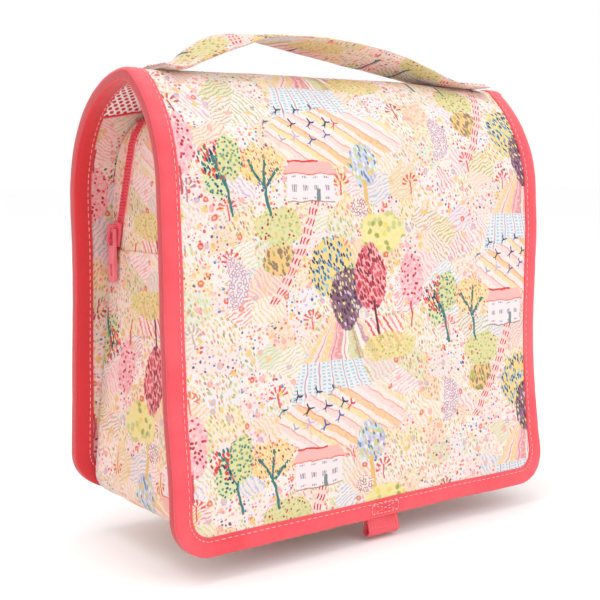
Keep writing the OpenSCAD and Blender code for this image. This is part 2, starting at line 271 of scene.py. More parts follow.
def slab(name, rows, columns, place, uv, group=None):
    """A closed thin panel of two grids joined by a rim.

    place(i, j, side) gives the points, side 0 outside and 1 inside; uv(i, j) the fabric's own metres;
    group(i, side) a row of faces' material index."""
    verts = [place(i, j, side) for side in (0, 1) for i in range(rows) for j in range(columns)]
    uvs = [uv(i, j) for _ in (0, 1) for i in range(rows) for j in range(columns)]
    layer = rows * columns
    faces = grid_faces(rows, columns) + grid_faces(rows, columns, layer)
    groups = []
    for side in (0, 1):
        for i in range(rows - 1):
            groups += [group(i, side) if group else 0] * (columns - 1)
    rim = [*range(columns)]
    rim += [i * columns + columns - 1 for i in range(1, rows)]
    rim += [(rows - 1) * columns + j for j in range(columns - 2, -1, -1)]
    rim += [i * columns for i in range(rows - 2, 0, -1)]
    for k, a in enumerate(rim):
        b = rim[(k + 1) % len(rim)]
        faces.append((a, b, b + layer, a + layer))
        groups.append(0)
    return tidy(make(name, verts, faces, uvs=uvs, groups=groups))


def sweep(name, stations, section, uv):
    """A solid tube of the closed outline section. Each station is a function from an outline point to a
    place; uv(i, j) gives the fabric's own metres."""
    verts = []
    uvs = []
    n = len(section)
    for i, station in enumerate(stations):
        for j, point in enumerate(section):
            verts.append(station(*point))
            uvs.append(uv(i, j))
    faces = grid_faces(len(stations), n, wrap_columns=True)
    faces.append(tuple(range(n - 1, -1, -1)))
    faces.append(tuple((len(stations) - 1) * n + j for j in range(n)))
    return tidy(make(name, verts, faces, uvs=uvs))


# A stitch's rings: (share of its length, share of its thickness, rise in thicknesses)
STITCH_RINGS = [(0.0, 0.15, -0.7), (0.16, 0.8, 0.1), (0.5, 1.0, 0.5), (0.84, 0.8, 0.1), (1.0, 0.15, -0.7)]


def capsule_into(verts, faces, a, b, up, r, sides=6):
    """Adds a thread from a to b to the lists, sunk at both ends, like one stitch."""
    along = (b - a).normalized()
    side = along.cross(up).normalized()
    rise = side.cross(along)
    start = len(verts)
    for t, k, lift in STITCH_RINGS:
        centre = a.lerp(b, t) + rise * (lift * r)
        for j in range(sides):
            turn = 2 * math.pi * j / sides
            verts.append(centre + (side * math.cos(turn) + rise * math.sin(turn)) * (r * k))
    rings = len(STITCH_RINGS)
    faces.extend(grid_faces(rings, sides, start, wrap_columns=True))
    faces.append(tuple(start + j for j in range(sides - 1, -1, -1)))
    faces.append(tuple(start + (rings - 1) * sides + j for j in range(sides)))


def box_lines(corners, cross=True):
    """The four sides of a box of stitches, and the cross in it."""
    sides = [*zip(corners, corners[1:] + corners[:1])]
    if cross:
        sides += [(corners[0], corners[2]), (corners[1], corners[3])]
    return sides


def sewn_lines(name, lines, spot, count_on, shares, up, r):
    """Stitches along lines between flat points; spot turns a flat point into a place.

    count_on(a, b) is the number of stitches on a line, and shares are where each starts and ends in its step.
    """
    verts = []
    faces = []
    for a, b in lines:
        count = count_on(a, b)
        for k in range(count):
            ends = []
            for share in shares:
                t = (k + share) / count
                ends.append(spot(a[0] + (b[0] - a[0]) * t, a[1] + (b[1] - a[1]) * t))
            capsule_into(verts, faces, ends[0], ends[1], up, r * MM)
    return tidy(make(name, verts, faces))


# ---------------------------------------------------------------- the wrap

PRINT, PRINT_INSIDE, CORAL_INSIDE = 0, 1, 2


def wrap_half(name, foot, end, coral_from):
    """One closed padded half of the wrap, from its foot to the middle of the top.

    Its outer face is print; its inner face is coral from coral_from up, and print below that.
    """
    across = 60
    inset = 0.9
    sign = 1 if end > foot else -1
    rows = eased_rows(foot, end, CORNER_R, 3.6)
    tucked = [s + sign * inset * (1 - clamp(abs(s - foot) / CORNER_R)) for s in rows]

    def spread(i, j):
        return foot_half(inset, rows[i], foot, CORNER_R) * (2 * j / across - 1)

    def place(i, j, side):
        return on_wrap(spread(i, j), tucked[i], INNER_D if side else FABRIC_D)

    def uv(i, j):
        return spread(i, j) * MM, (S_END - tucked[i]) * MM

    def group(i, side):
        if side == 0:
            return PRINT
        return CORAL_INSIDE if rows[i] > coral_from else PRINT_INSIDE

    return slab(name, len(rows), across + 1, place, uv, group)


def edge_stations(foot, end):
    """(x, s, outward x, outward s) along a half's bound edge, from one end round the foot to the other."""
    sign = 1 if end > foot else -1
    r = CORNER_R
    step = 2.6
    left = [(-HALF_W, s, -1.0, 0.0) for s in spaced(end, foot + sign * r, step)]
    turns = 10
    for i in range(1, turns):
        a = math.pi / 2 * i / turns
        ex, es = -math.cos(a), -sign * math.sin(a)
        left.append((-HALF_W + r + r * ex, foot + sign * r + r * es, ex, es))
    bottom = [(x, foot, 0.0, -sign) for x in spaced(-HALF_W + r, HALF_W - r, step)]
    mirrored = [(-x, s, -ex, es) for x, s, ex, es in left]
    return left + bottom + mirrored[::-1]


# The folded tape's outline: (distance in from the edge, height over the panel's mid-depth)
TAPE_FACE = [
    (9.4, 1.1), (9.35, 2.35), (9.1, 2.7), (8.4, 2.75), (7.5, 2.6), (6.7, 2.8),
    (5.0, 3.0), (3.0, 3.1), (1.2, 3.05), (0.35, 2.75), (0.06, 2.3), (0.0, 1.0),
]
TAPE = TAPE_FACE + [(e, -h) for e, h in reversed(TAPE_FACE)]
# The stitches through the tape: distance in from the edge, height over mid-depth, step and length
STITCH_E = 7.5
STITCH_H = 2.78
STITCH_PITCH = 3.5
STITCH_LENGTH = 2.5


def on_edge(station, e, h):
    """A point of the bound edge: e in from the edge and h over the panel's mid-depth."""
    x, s, ex, es = station
    pucker = 0.22 * ripple(x, s, h * 4, 5.5) * ease(abs(h), 0.5, 2.5)
    e += 0.3 * ripple(x, s, 60.0, 26)
    return on_wrap(x - ex * e, s - es * e, MID_D - h - pucker)


def bound_edge(name, foot, end):
    stations = edge_stations(foot, end)
    places = [lambda e, h, st=st: on_edge(st, e, h) for st in stations]
    lengths = [0.0]
    for a, b in zip(stations, stations[1:]):
        lengths.append(lengths[-1] + math.hypot(a[0] - b[0], a[1] - b[1]))
    # The v across the tape places the binding material's painted shade on its folded edge and reverse half
    return sweep(name, places, TAPE, uv=lambda i, j: (lengths[i] * MM, j * 1.2 * MM))


def edge_stitches(name, foot, end):
    """A row of stitches through the tape, seen on both of its faces."""
    stations = edge_stations(foot, end)
    verts = []
    faces = []
    run = 0.0
    next_at = 1.0
    for a, b in zip(stations, stations[1:]):
        gap = math.hypot(a[0] - b[0], a[1] - b[1])
        while next_at < run + gap:
            t0 = (next_at - run) / gap
            t1 = t0 + STITCH_LENGTH / gap
            for sign in (1, -1):
                ends = []
                for t in (t0, t1):
                    mixed = tuple(p + (q - p) * t for p, q in zip(a, b))
                    ends.append(on_edge(mixed, STITCH_E, sign * STITCH_H))
                lifted = on_edge(a, STITCH_E, sign * 6.0) - on_edge(a, STITCH_E, 0.0)
                capsule_into(verts, faces, ends[0], ends[1], lifted.normalized(), 0.27 * MM)
            next_at += STITCH_PITCH
        run += gap
    return tidy(make(name, verts, faces))


FOLD_1_START = on_wrap(0, S_SPRING + BACK_R * math.radians(12), FABRIC_D)
FOLD_1_END = on_wrap(0, S_SPRING + BACK_R * math.radians(78), FABRIC_D)
FOLD_2_START = on_wrap(0, S_APEX + FRONT_R * math.radians(4), FABRIC_D)
FOLD_2_END = on_wrap(0, S_APEX + FRONT_R * math.radians(48), FABRIC_D)


def fold_back(obj):
    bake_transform(obj)
    return obj


def fold_front(obj):
    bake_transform(obj)
    return obj


# ---------------------------------------------------------------- the box compartment


# Between these depths the box's section moves in from the wrap's inner face to its own depth, BOX_D
SHOULDER_REAR_Y = 31
SHOULDER_FRONT_Y = 25


def section_top(y):
    """Height of the box's section at depth y, where it follows the inside of the wrap."""
    if y > BACK_C[0]:
        r = BACK_R - INNER_D - (BOX_D - INNER_D) * ease(-y, -SHOULDER_REAR_Y, -SHOULDER_FRONT_Y)
        return min(BOX_TOP_Z, BACK_C[1] + math.sqrt(max(0.0, r * r - (y - BACK_C[0]) ** 2)))
    r = FRONT_R - BOX_D
    return min(BOX_TOP_Z, FRONT_C[1] + math.sqrt(max(0.0, r * r - (y - FRONT_C[0]) ** 2)))


def front_y(z):
    """Depth of the box's front face at height z."""
    top = FRONT_C[1] + FRONT_R * math.sin(FLAP_END)
    if z > top:
        r = FRONT_R - BOX_D
        return FRONT_C[0] - math.sqrt(max(0.0, r * r - (z - FRONT_C[1]) ** 2))
    return FRONT_C[0] + (FRONT_R - BOX_D) * math.cos(FLAP_END) - (top - z) * math.tan(FLAP_LEAN)


def rear_y(z):
    """Depth of the box's rear edge at height z, on the inside of the wrap's back."""
    r = BACK_R - INNER_D
    climb = min(max(0.0, z - SPRING_Z), r * math.sin(TOP_FOLD))
    return BACK_C[0] + math.sqrt(r * r - climb * climb)


def zip_y(z):
    return ZIP_Y - (max(z, SEAM_Z) - SEAM_Z) * math.tan(ZIP_LEAN)


def round_corner(before, at, after, r, turns=8):
    u = Vector((before[0] - at[0], before[1] - at[1])).normalized()
    v = Vector((after[0] - at[0], after[1] - at[1])).normalized()
    half = u.angle(v) / 2
    corner = Vector(at)
    centre = corner + (u + v).normalized() * (r / math.sin(half))
    first = corner + u * (r / math.tan(half)) - centre
    last = corner + v * (r / math.tan(half)) - centre
    a0 = math.atan2(first.y, first.x)
    turn = (math.atan2(last.y, last.x) - a0 + math.pi) % (2 * math.pi) - math.pi
    angles = [a0 + turn * k / turns for k in range(turns + 1)]
    return [(centre.x + r * math.cos(a), centre.y + r * math.sin(a)) for a in angles]


def divided(marks, step):
    """The corners in marks with even points between them."""
    points = [marks[0]]
    for a, b in zip(marks, marks[1:]):
        n = max(1, round(math.hypot(b[0] - a[0], b[1] - a[1]) / step))
        points += [(a[0] + (b[0] - a[0]) * k / n, a[1] + (b[1] - a[1]) * k / n) for k in range(1, n + 1)]
    return points


def with_right(left):
    """A left half that ends at x = 0, and its mirror image."""
    return left + [(-x, z) for x, z in reversed(left[:-1])]


def lower_outline(step=3.0):
    """(x, z) from the left seam down round the floor to the right seam."""
    floor_corner = round_corner((-SEAM_X, SEAM_Z), (-BASE_X, FLOOR_Z), (0, FLOOR_Z), FLOOR_R)
    return with_right(divided([(-SEAM_X, SEAM_Z), *floor_corner, (0.0, FLOOR_Z)], step))


def upper_outline(step=3.0):
    """(x, z) from the left seam up over the top to the right seam."""
    top_corner = round_corner((-SEAM_X, SEAM_Z), (-TOP_X, BOX_TOP_Z), (0, BOX_TOP_Z), TOP_R, 14)
    return with_right(divided([(-SEAM_X, SEAM_Z), *top_corner, (0.0, BOX_TOP_Z)], step))


def sag(x, y, z):
    """Soft dents of the unfilled box's sides, inwards along X, in millimetres."""
    up = (z - FLOOR_Z) / (BOX_TOP_Z - FLOOR_Z)
    hollow = 2.2 * bump(up, 0.36, 0.2) * bump(y, -2, 28)
    creases = 1.1 * ripple(y * 1.3, z * 0.5, 7.0, 17) + 0.5 * ripple(y, z, 20.0, 8)
    quiet = 1 - ease(z, 126, 134) * (1 - ease(z, 178, 192)) * bump(y, zip_y(z), 12)
    ends = ease(y - front_y(z), 0, 8) * ease(rear_y(z) - y, 0, 6)
    return (hollow + creases) * quiet * ends * ease(abs(x), 60, 90)


def on_box(x, z, y, out=0.0):
    """A point of the box's sides, floor or top: outline point (x, z) at depth y, moved outwards by out."""
    side = math.copysign(1.0, x)
    if z > BOX_TOP_Z - TOP_R:
        lean = Vector((x - side * min(abs(x), TOP_X - TOP_R), z - (BOX_TOP_Z - TOP_R))).normalized()
    elif z > FLOOR_Z + FLOOR_R:
        lean = Vector((side, 0.0))
    else:
        lean = Vector((x - side * min(abs(x), BASE_X - FLOOR_R), z - (FLOOR_Z + FLOOR_R))).normalized()
    over = z - (section_top(y) - SOFT_EDGE)
    if over > 0:
        z += SOFT_EDGE * math.tanh(over / SOFT_EDGE) - over
    inward = side * sag(x, y, z)
    return put(x + lean.x * out - inward, y, z + lean.y * out)


def gusset(name, outline, y_rear, y_front, count, out, thick=1.1, print_up=False):
    """A thin strip of the box's sides along outline, between the two depths that hold at each height.

    count is its columns; out(i, j) is how far its outer face stands off the box, and print_up turns
    its print so that it runs up the side."""
    runs = [0.0]
    for a, b in zip(outline, outline[1:]):
        runs.append(runs[-1] + math.hypot(a[0] - b[0], a[1] - b[1]))

    def depth(i, j):
        z = outline[i][1]
        return y_rear(z) + (y_front(z) - y_rear(z)) * j / count

    def place(i, j, side):
        x, z = outline[i]
        return on_box(x, z, depth(i, j), out(i, j) - thick * side)

    def uv(i, j):
        along = UPPER_V - runs[i] if print_up else LOWER_V + runs[i]
        return (depth(i, j) + GUSSET_U) * MM, along * MM

    return slab(name, len(outline), count + 1, place, uv)


PUCKER_STEP = 3.0


def seam_puckers(x, y, z):
    return 0.25 * ripple(y, z, x, 3.2)


def lower_gusset(name):
    """The box's floor and lower sides, with its folded top edge standing proud of the zip's strips."""
    outline = lower_outline(2.4)

    def out(i, j):
        x, z = outline[i]
        fold = ease(z, SEAM_Z - FOLD_H, SEAM_Z - FOLD_H + 1.5) if z > FLOOR_Z + FLOOR_R else 0.0
        return 0.2 + 0.7 * fold + seam_puckers(x, j * PUCKER_STEP, z) * ease(z, SEAM_Z - 14, SEAM_Z)

    return gusset(name, outline, rear_y, front_y, 30, out)


def even_out(amount):
    """A gusset's out that is the same everywhere."""
    return lambda i, j: amount


def front_gusset(name):
    """The strip between the zip and the box's front panel."""

    def zip_side(z):
        return zip_y(z) - ZIP_GAP

    return gusset(name, upper_outline(), zip_side, front_y, 20, even_out(0.1), print_up=True)


def rear_gusset(name):
    """The narrow strip between the zip and the wrap's back."""

    def zip_side(z):
        return zip_y(z) + ZIP_GAP

    def rear_edge(z):
        return max(rear_y(z), zip_side(z) + 0.3)

    return gusset(name, upper_outline(), rear_edge, zip_side, 8, even_out(0.1), print_up=True)


FRONT_T = 4.2
FRONT_MIDDLE = Vector((0.0, 100.0))
FRONT_UV = (31, 12)
# The front panel's rings, as shares of the way from its rim to its middle
FRONT_SHARES = [0.0, 0.012, 0.03, 0.06, 0.12, 0.2, 0.3, 0.42, 0.56, 0.7, 0.84, 0.97]


def box_front(name):
    """The box's padded front panel, held down by its rim seam and gently crowned inside it."""
    outline = lower_outline()[:-1] + [(x, z) for x, z in reversed(upper_outline())][:-1]
    n = len(outline)
    rings = len(FRONT_SHARES)
    verts = []
    uvs = []
    for inner in (False, True):
        for share in FRONT_SHARES:
            for x, z in outline:
                p = Vector((x, z)).lerp(FRONT_MIDDLE, share)
                crown = 0.7 * ease(share, 0.0, 0.25) - 0.6 * bump(share, 0.03, 0.02)
                verts.append(put(p.x, front_y(p.y) + (FRONT_T if inner else -crown), p.y))
                uvs.append(((p.x + FRONT_UV[0]) * MM, (p.y + FRONT_UV[1]) * MM))
    layer = rings * n
    faces = grid_faces(rings, n, wrap_columns=True) + grid_faces(rings, n, layer, wrap_columns=True)
    faces += [(j, (j + 1) % n, layer + (j + 1) % n, layer + j) for j in range(n)]
    for start in (layer - n, 2 * layer - n):
        faces.append(tuple(start + j for j in range(n)))
    return tidy(make(name, verts, faces, uvs=uvs))


LINING_IN = -1.6
LINING_T = 0.5


def lining_front(z):
    return front_y(z) + FRONT_T + 0.6


def base_lining(name):
    """The lining inside the box's lower sides and floor."""

    def lining_rear(z):
        return rear_y(z) - 1.0

    return gusset(name, lower_outline(), lining_rear, lining_front, 16, even_out(LINING_IN), LINING_T)


def top_lining(name):
    """The lining inside the box's upper sides and top, in front of the zip."""

    def tape_edge(z):
        return zip_y(z) - ZIP_TAPE_W

    return gusset(name, upper_outline(), tape_edge, lining_front, 10, even_out(LINING_IN), LINING_T)


# ---------------------------------------------------------------- the zip


def zip_frames(step):
    """(place, along, out, side) at even steps of the closed zip, from the left seam over to the right."""
    spots = upper_outline(step)
    points = [on_box(x, z, zip_y(z)) for x, z in spots]
    frames = []
    for i, (x, z) in enumerate(spots):
        along = (points[min(i + 1, len(points) - 1)] - points[max(i - 1, 0)]).normalized()
        ahead = on_box(x, z, zip_y(z) - 1.0) - on_box(x, z, zip_y(z) + 1.0)
        side = (ahead - along * ahead.dot(along)).normalized()
        out = side.cross(along).normalized()
        if out.dot(on_box(x, z, zip_y(z), 1.0) - points[i]) < 0:
            out = -out
        frames.append((points[i], along, out, side))
    return frames


def even(frames, pitch):
    """Frames at an even pitch along the line that the given frames follow, in metres."""
    spread = []
    run = 0.0
    wanted = pitch / 2
    for a, b in zip(frames, frames[1:]):
        gap = (b[0] - a[0]).length
        while wanted < run + gap:
            t = (wanted - run) / gap
            spread.append(tuple(p.lerp(q, t) if k == 0 else p.lerp(q, t).normalized()
                                for k, (p, q) in enumerate(zip(a, b))))
            wanted += pitch
        run += gap
    return spread


def zip_tape(name):
    """The woven tape under the coil, seen as a narrow band on either side of it."""
    frames = zip_frames(2.0)
    section = [(-7.5, -0.9), (7.5, -0.9), (7.5, -0.4), (2.6, 0.0), (-2.6, 0.0), (-7.5, -0.4)]
    places = [lambda a, h, f=f: f[0] + f[3] * (a * MM) + f[2] * (h * MM) for f in frames]
    return sweep(name, places, section, uv=lambda i, j: (section[j][0] * MM, i * 2.0 * MM))


def zip_teeth(name):
    """The coil's two rows of teeth, which meet in the middle."""
    verts = []
    faces = []
    teeth = even(zip_frames(2.0), TOOTH_PITCH * MM)
    for at, along, out, side in teeth:
        for row in (-1, 1):
            offset = along * (0.25 * TOOTH_PITCH * MM * row)
            inner = at + offset + side * (row * 0.1 * MM) + out * (0.25 * MM)
            outer = at + offset + side * (row * 2.9 * MM) + out * (0.1 * MM)
            capsule_into(verts, faces, inner, outer, out, TOOTH_R * MM, 8)
    return tidy(make(name, verts, faces))


def zip_stitches(name):
    """The stitches that hold the two fabric strips to the zip's tape."""
    verts = []
    faces = []
    for at, along, out, side in even(zip_frames(2.0), 3.2 * MM):
        for row in (-1, 1):
            centre = at + side * (row * 5.6 * MM) + out * (0.28 * MM)
            reach = along * (1.1 * MM)
            capsule_into(verts, faces, centre - reach, centre + reach, out, 0.2 * MM)
    return tidy(make(name, verts, faces))


# ---------------------------------------------------------------- the handle

HANDLE_Y = -10.0
STRAP_W = 24.0
STRAP_T = 3.0
# Points across one face of the strap, and where each face's print starts in the cloth
STRAP_FACE = 16
STRAP_UV = (150, 90)
ANCHOR_X = 104.0
HANDLE_S = S_TOP + APEX_R * math.asin((BACK_C[0] - HANDLE_Y) / APEX_R)


def top_height(x):
    """Height of the middle of a strap that lies on the wrap's top at x."""
    return on_wrap(x, HANDLE_S, FABRIC_D).z / MM - ORIGIN_Z + 1.2


# (x, height of the strap's middle, roll in degrees; its front edge is down where the roll is positive)
HANDLE_LINE = [
    (-ANCHOR_X, top_height(-ANCHOR_X), 0.0),
    (-93.0, top_height(-93.0) + 0.2, 1.0),
    (-81.0, 229.4, 12.0),
    (-64.0, 236.6, 15.0),
    (-44.0, 239.5, 2.0),
    (0.0, 236.4, -17.0),
    (38.0, 231.2, -18.0),
    (57.0, 227.2, -11.0),
    (72.0, top_height(72.0) + 0.9, -5.0),
    (86.0, top_height(86.0) + 0.1, 0.0),
    (ANCHOR_X, top_height(ANCHOR_X), 0.0),
]
HANDLE_MIDDLE = 5


def spline(knots, t):
    """Catmull-Rom through the knots; t counts knots from 0."""
    i = min(int(t), len(knots) - 2)
    u = t - i
    before = knots[max(i - 1, 0)]
    after = knots[min(i + 2, len(knots) - 1)]
    point = []
    for p0, p1, p2, p3 in zip(before, knots[i], knots[i + 1], after):
        square = 2 * p0 - 5 * p1 + 4 * p2 - p3
        cube = 3 * p1 - p0 - 3 * p2 + p3
        point.append((2 * p1 + (p2 - p0) * u + square * u * u + cube * u ** 3) / 2)
    return point


def on_strap(t, w, h):
    """A point of the handle: w across it towards the back, h above its middle, at spline place t."""
    x, z, roll = spline(HANDLE_LINE, t)
    x2, z2, _ = spline(HANDLE_LINE, t + 0.02)
    x1, z1, _ = spline(HANDLE_LINE, max(0.0, t - 0.02))
    slope = math.atan2(z2 - z1, x2 - x1)
    a = math.radians(roll)
    rise = h * math.cos(a) + w * math.sin(a)
    y = HANDLE_Y + w * math.cos(a) - h * math.sin(a)
    return put(x - rise * math.sin(slope), y, z + rise * math.cos(slope))


def strap_section():
    """The strap's outline: two soft faces that meet in narrow folded edges."""
    half = STRAP_W / 2
    face = []
    for k in range(STRAP_FACE + 1):
        w = -math.cos(math.pi * k / STRAP_FACE)
        pinch = 1 - abs(w) ** 5
        groove = 0.16 * bump(abs(w), 0.84, 0.05)
        rounded = math.sqrt(max(0.0, 1 - abs(w) ** 14))
        face.append((w * half, STRAP_T / 2 * (0.42 + 0.58 * pinch) * rounded - groove))
    return face + [(w, -h) for w, h in reversed(face[1:-1])]


def handle_half(name, first, last):
    """The handle between two of its line's knots, flat where it is sewn down and crumpled a little."""
    section = strap_section()
    steps = spaced(first, last, 0.08)
    places = []
    for t in steps:
        x = spline(HANDLE_LINE, t)[0]
        flat = 0.55 + 0.45 * ease(ANCHOR_X - abs(x), 0.0, 9.0)
        narrow = 1 - 0.05 * bump(abs(x), 86, 8)

        def place(w, h, t=t, x=x, flat=flat, narrow=narrow):
            crumple = 0.35 * ripple(x, w, h * 3, 11) + 0.5 * ripple(x, w, 30.0, 26)
            return on_strap(t, w * narrow, h * flat + crumple)

        places.append(place)

    def uv(i, j):
        start = STRAP_UV[0] if j <= STRAP_FACE else STRAP_UV[1]
        return (spline(HANDLE_LINE, steps[i])[0] + 20) * MM, (section[j][0] + start) * MM

    return sweep(name, places, section, uv=uv)


def handle_stitches(name, side):
    """A box of stitches with a cross in it, which holds one end of the handle down."""
    ends = (0.12, 0.95) if side < 0 else (len(HANDLE_LINE) - 1.12, len(HANDLE_LINE) - 1.95)
    half = STRAP_W / 2 - 2.6
    corners = [(ends[0], -half), (ends[0], half), (ends[1], half), (ends[1], -half)]

    def count_on(a, b):
        length = (on_strap(*b, STRAP_T / 2) - on_strap(*a, STRAP_T / 2)).length
        return max(2, round(length / (3.0 * MM)))

    def spot(t, w):
        return on_strap(t, w, STRAP_T / 2 * 0.72)

    return sewn_lines(name, box_lines(corners), spot, count_on, (0.12, 0.82), Vector((0, 0, 1)), 0.3)


# ---------------------------------------------------------------- the small parts

LOOP_W = (LOOP_HIGH.x - LOOP_LOW.x) / MM
LOOP_LOW_Z = LOOP_LOW.z / MM - ORIGIN_Z
LOOP_STITCH_H = 3.45


def hang_loop(name):
    """A short tab of webbing, folded into a loop and caught in the binding at the flap's lower edge."""
    y0 = (LOOP_LOW.y + LOOP_HIGH.y) / 2 / MM - ORIGIN_Y
    r = 2.3
    bottom = LOOP_LOW_Z + 0.6 + r
    turns = 12
    path = [(-0.75, 1.5), (-0.8, -1.0), (-1.4, -3.0)]
    path += [(r * math.cos(a), bottom + r * math.sin(a)) for a in
             (math.pi + math.pi * k / turns for k in range(turns + 1))]
    path += [(1.4, -3.0), (0.8, -1.0), (0.75, 1.5)]
    across = 60
    path = divided(path, 0.8)

    def place(i, j, side):
        before = path[max(i - 1, 0)]
        after = path[min(i + 1, len(path) - 1)]
        run = Vector((after[0] - before[0], after[1] - before[1])).normalized()
        x = LOOP_W * (j / across - 0.5)
        edge = 1 - 0.35 * ease(abs(x), LOOP_W / 2 - 1.2, LOOP_W / 2)
        rib = 0.34 * bump(abs(x), LOOP_W / 2 - 1.9, 0.45) + 0.26 * bump(abs(x), LOOP_W / 2 - 3.6, 0.4)
        t = (0.5 * edge + rib) * (1 if side == 0 else -1)
        droop = 0.5 * ripple(x, path[i][1], 3.0, 12)
        y = y0 + path[i][0] - run.y * t + droop
        return put(LOOP_X + x + 0.4 * ripple(path[i][1], 1.0, 1.0, 6), y, path[i][1] + run.x * t)

    return slab(name, len(path), across + 1, place, lambda i, j: (LOOP_W * j / across * MM, i * 0.8 * MM))


def loop_stitches(name):
    """The box of stitches with a cross in it that holds the loop, on both faces of the binding."""
    half = LOOP_W / 2 - 1.2
    low, high = 2.4, 7.2
    corners = [(-half, low), (half, low), (half, high), (-half, high)]
    verts = []
    faces = []
    for a, b in box_lines(corners):
        count = max(1, round(math.dist(a, b) / 2.6))
        for k in range(count):
            for sign in (1, -1):
                ends = []
                for share in ((k + 0.1) / count, (k + 0.84) / count):
                    x = LOOP_X + a[0] + (b[0] - a[0]) * share
                    e = a[1] + (b[1] - a[1]) * share
                    ends.append(on_edge((x, S_END, 0.0, 1.0), e, sign * LOOP_STITCH_H))
                up = on_edge((x, S_END, 0.0, 1.0), e, sign * 6.0) - on_edge((x, S_END, 0.0, 1.0), e, 0.0)
                capsule_into(verts, faces, ends[0], ends[1], up.normalized(), 0.27 * MM)
    return tidy(make(name, verts, faces))


MESH_FOOT_S = S_END - 72.0
MESH_TAPE_S = S_END - 62.0
MESH_HALF_W = HALF_W - 8.6
NET_CLIMB = 9.0


def net_from(x):
    """Where the net under the arch starts along the wrap: higher in the middle than at the bound edges."""
    return S_SPRING + BACK_R * TOP_FOLD + NET_CLIMB * ease(HALF_W - abs(x), 0, 44)


def mesh_sheet(name, s0, s1):
    """A piece of the net that lies just inside the wrap, hollowed a little between its edges.

    s0(x) gives where it starts at x, and s1 is where it ends."""
    count = round(abs(s1 - s0(0)) / 3.6)
    across = 50

    def spot(i, j):
        x = MESH_HALF_W * (2 * j / across - 1)
        return x, s0(x) + (s1 - s0(x)) * i / count

    def place(i, j, side):
        x, s = spot(i, j)
        share = x / MESH_HALF_W
        lift = 0.35 + 0.9 * (1 - share * share) * bump((s - MESH_FOOT_S) / 60, -0.1, 0.9)
        return on_wrap(x, s, INNER_D + lift + 0.45 * side)

    return slab(name, count + 1, across + 1, place, lambda i, j: tuple(c * MM for c in spot(i, j)))


def net_cord(name):
    """The narrow rolled edge of the net under the arch."""
    sides = 8
    turns = [2 * math.pi * k / sides for k in range(sides)]
    section = [(0.9 * math.cos(a), 0.7 * math.sin(a)) for a in turns]
    places = []
    for x in spaced(-MESH_HALF_W, MESH_HALF_W, 3.0):
        places.append(lambda a, h, x=x: on_wrap(x, net_from(x) + a, INNER_D + 0.7 + h))
    return sweep(name, places, section, uv=lambda i, j: (i * 3.0 * MM, j * 0.7 * MM))


def mesh_tape(name):
    """The folded tape along the net pocket's open edge."""
    across = 50
    section = [(MESH_FOOT_S - 0.6, 0.5), (MESH_FOOT_S + 1, 0.1), (MESH_TAPE_S - 1, 0.1), (MESH_TAPE_S, 0.6),
               (MESH_TAPE_S, 1.4), (MESH_TAPE_S - 1.2, 2.0), (MESH_FOOT_S + 1, 1.9), (MESH_FOOT_S - 0.6, 1.4)]
    places = []
    for j in range(across + 1):
        x = MESH_HALF_W * (2 * j / across - 1)
        places.append(lambda s, d, x=x: on_wrap(x, s, INNER_D + 0.2 + d + 0.15 * ripple(x, s, d, 6)))
    return sweep(name, places, section, uv=lambda i, j: (i * 4.0 * MM, j * 1.5 * MM))


PATCH_X = 50.0
PATCH_W = 22.0
PATCH_Z = (20.0, 45.0)
PATCH_T = 1.5


def patch(name, side, on_flap):
    """A square of hook or loop tape, thinner at its sewn rim."""
    n = 14

    def place(i, j, back):
        x = side * PATCH_X + PATCH_W * (j / n - 0.5)
        z = PATCH_Z[0] + (PATCH_Z[1] - PATCH_Z[0]) * i / n
        rim = min(i, j, n - i, n - j)
        t = 0 if back else PATCH_T * (0.45 if rim == 0 else 0.62 if rim == 1 else 0.95)
        t += 0 if back else 0.12 * ripple(x, z, 2.0, 1.5)
        if on_flap:
            return on_wrap(x, S_END - z, INNER_D + 0.05 + t)
        return put(x, front_y(z) - 0.55 - t, z)

    return slab(name, n + 1, n + 1, place, lambda i, j: (j * 1.6 * MM, i * 1.8 * MM))


def patch_stitches(name, side, on_flap):
    """The row of stitches inside a patch's rim."""
    half_w = PATCH_W / 2 - 2.0
    z0, z1 = PATCH_Z[0] + 2.0, PATCH_Z[1] - 2.0
    corners = [(-half_w, z0), (half_w, z0), (half_w, z1), (-half_w, z1)]

    def spot(u, z):
        x = side * PATCH_X + u
        if on_flap:
            return on_wrap(x, S_END - z, INNER_D + PATCH_T * 0.9)
        return put(x, front_y(z) - 0.45 - PATCH_T * 0.9, z)

    def count_on(a, b):
        return round(math.dist(a, b) / 2.8)

    up = Vector((0, 1 if on_flap else -1, 0))
    return sewn_lines(name, box_lines(corners, cross=False), spot, count_on, (0.1, 0.8), up, 0.25)


def soften(node, width):
    """Rounds a CAD node's edges as they are shown; its own mesh stays as it is."""
    bevel = node.modifiers.new("rounded", "BEVEL")
    bevel.width = width * MM
    bevel.segments = 3
    bevel.limit_method = "ANGLE"
    bevel.angle_limit = math.radians(35)
    bevel.harden_normals = True
    return node


# ---------------------------------------------------------------- materials


class Field:
    """A number that varies over a surface, kept as a socket, so that formulas read as arithmetic."""

    def __init__(self, graph, socket):
        self.graph = graph
        self.socket = socket

    def __add__(self, other):
        return self.graph.math("ADD", self, other)

    def __sub__(self, other):
        return self.graph.math("SUBTRACT", self, other)

    def __rsub__(self, other):
        return self.graph.math("SUBTRACT", other, self)

    def __mul__(self, other):
        return self.graph.math("MULTIPLY", self, other)

    def __abs__(self):
        return self.graph.math("ABSOLUTE", self)

    __radd__ = __add__
    __rmul__ = __mul__


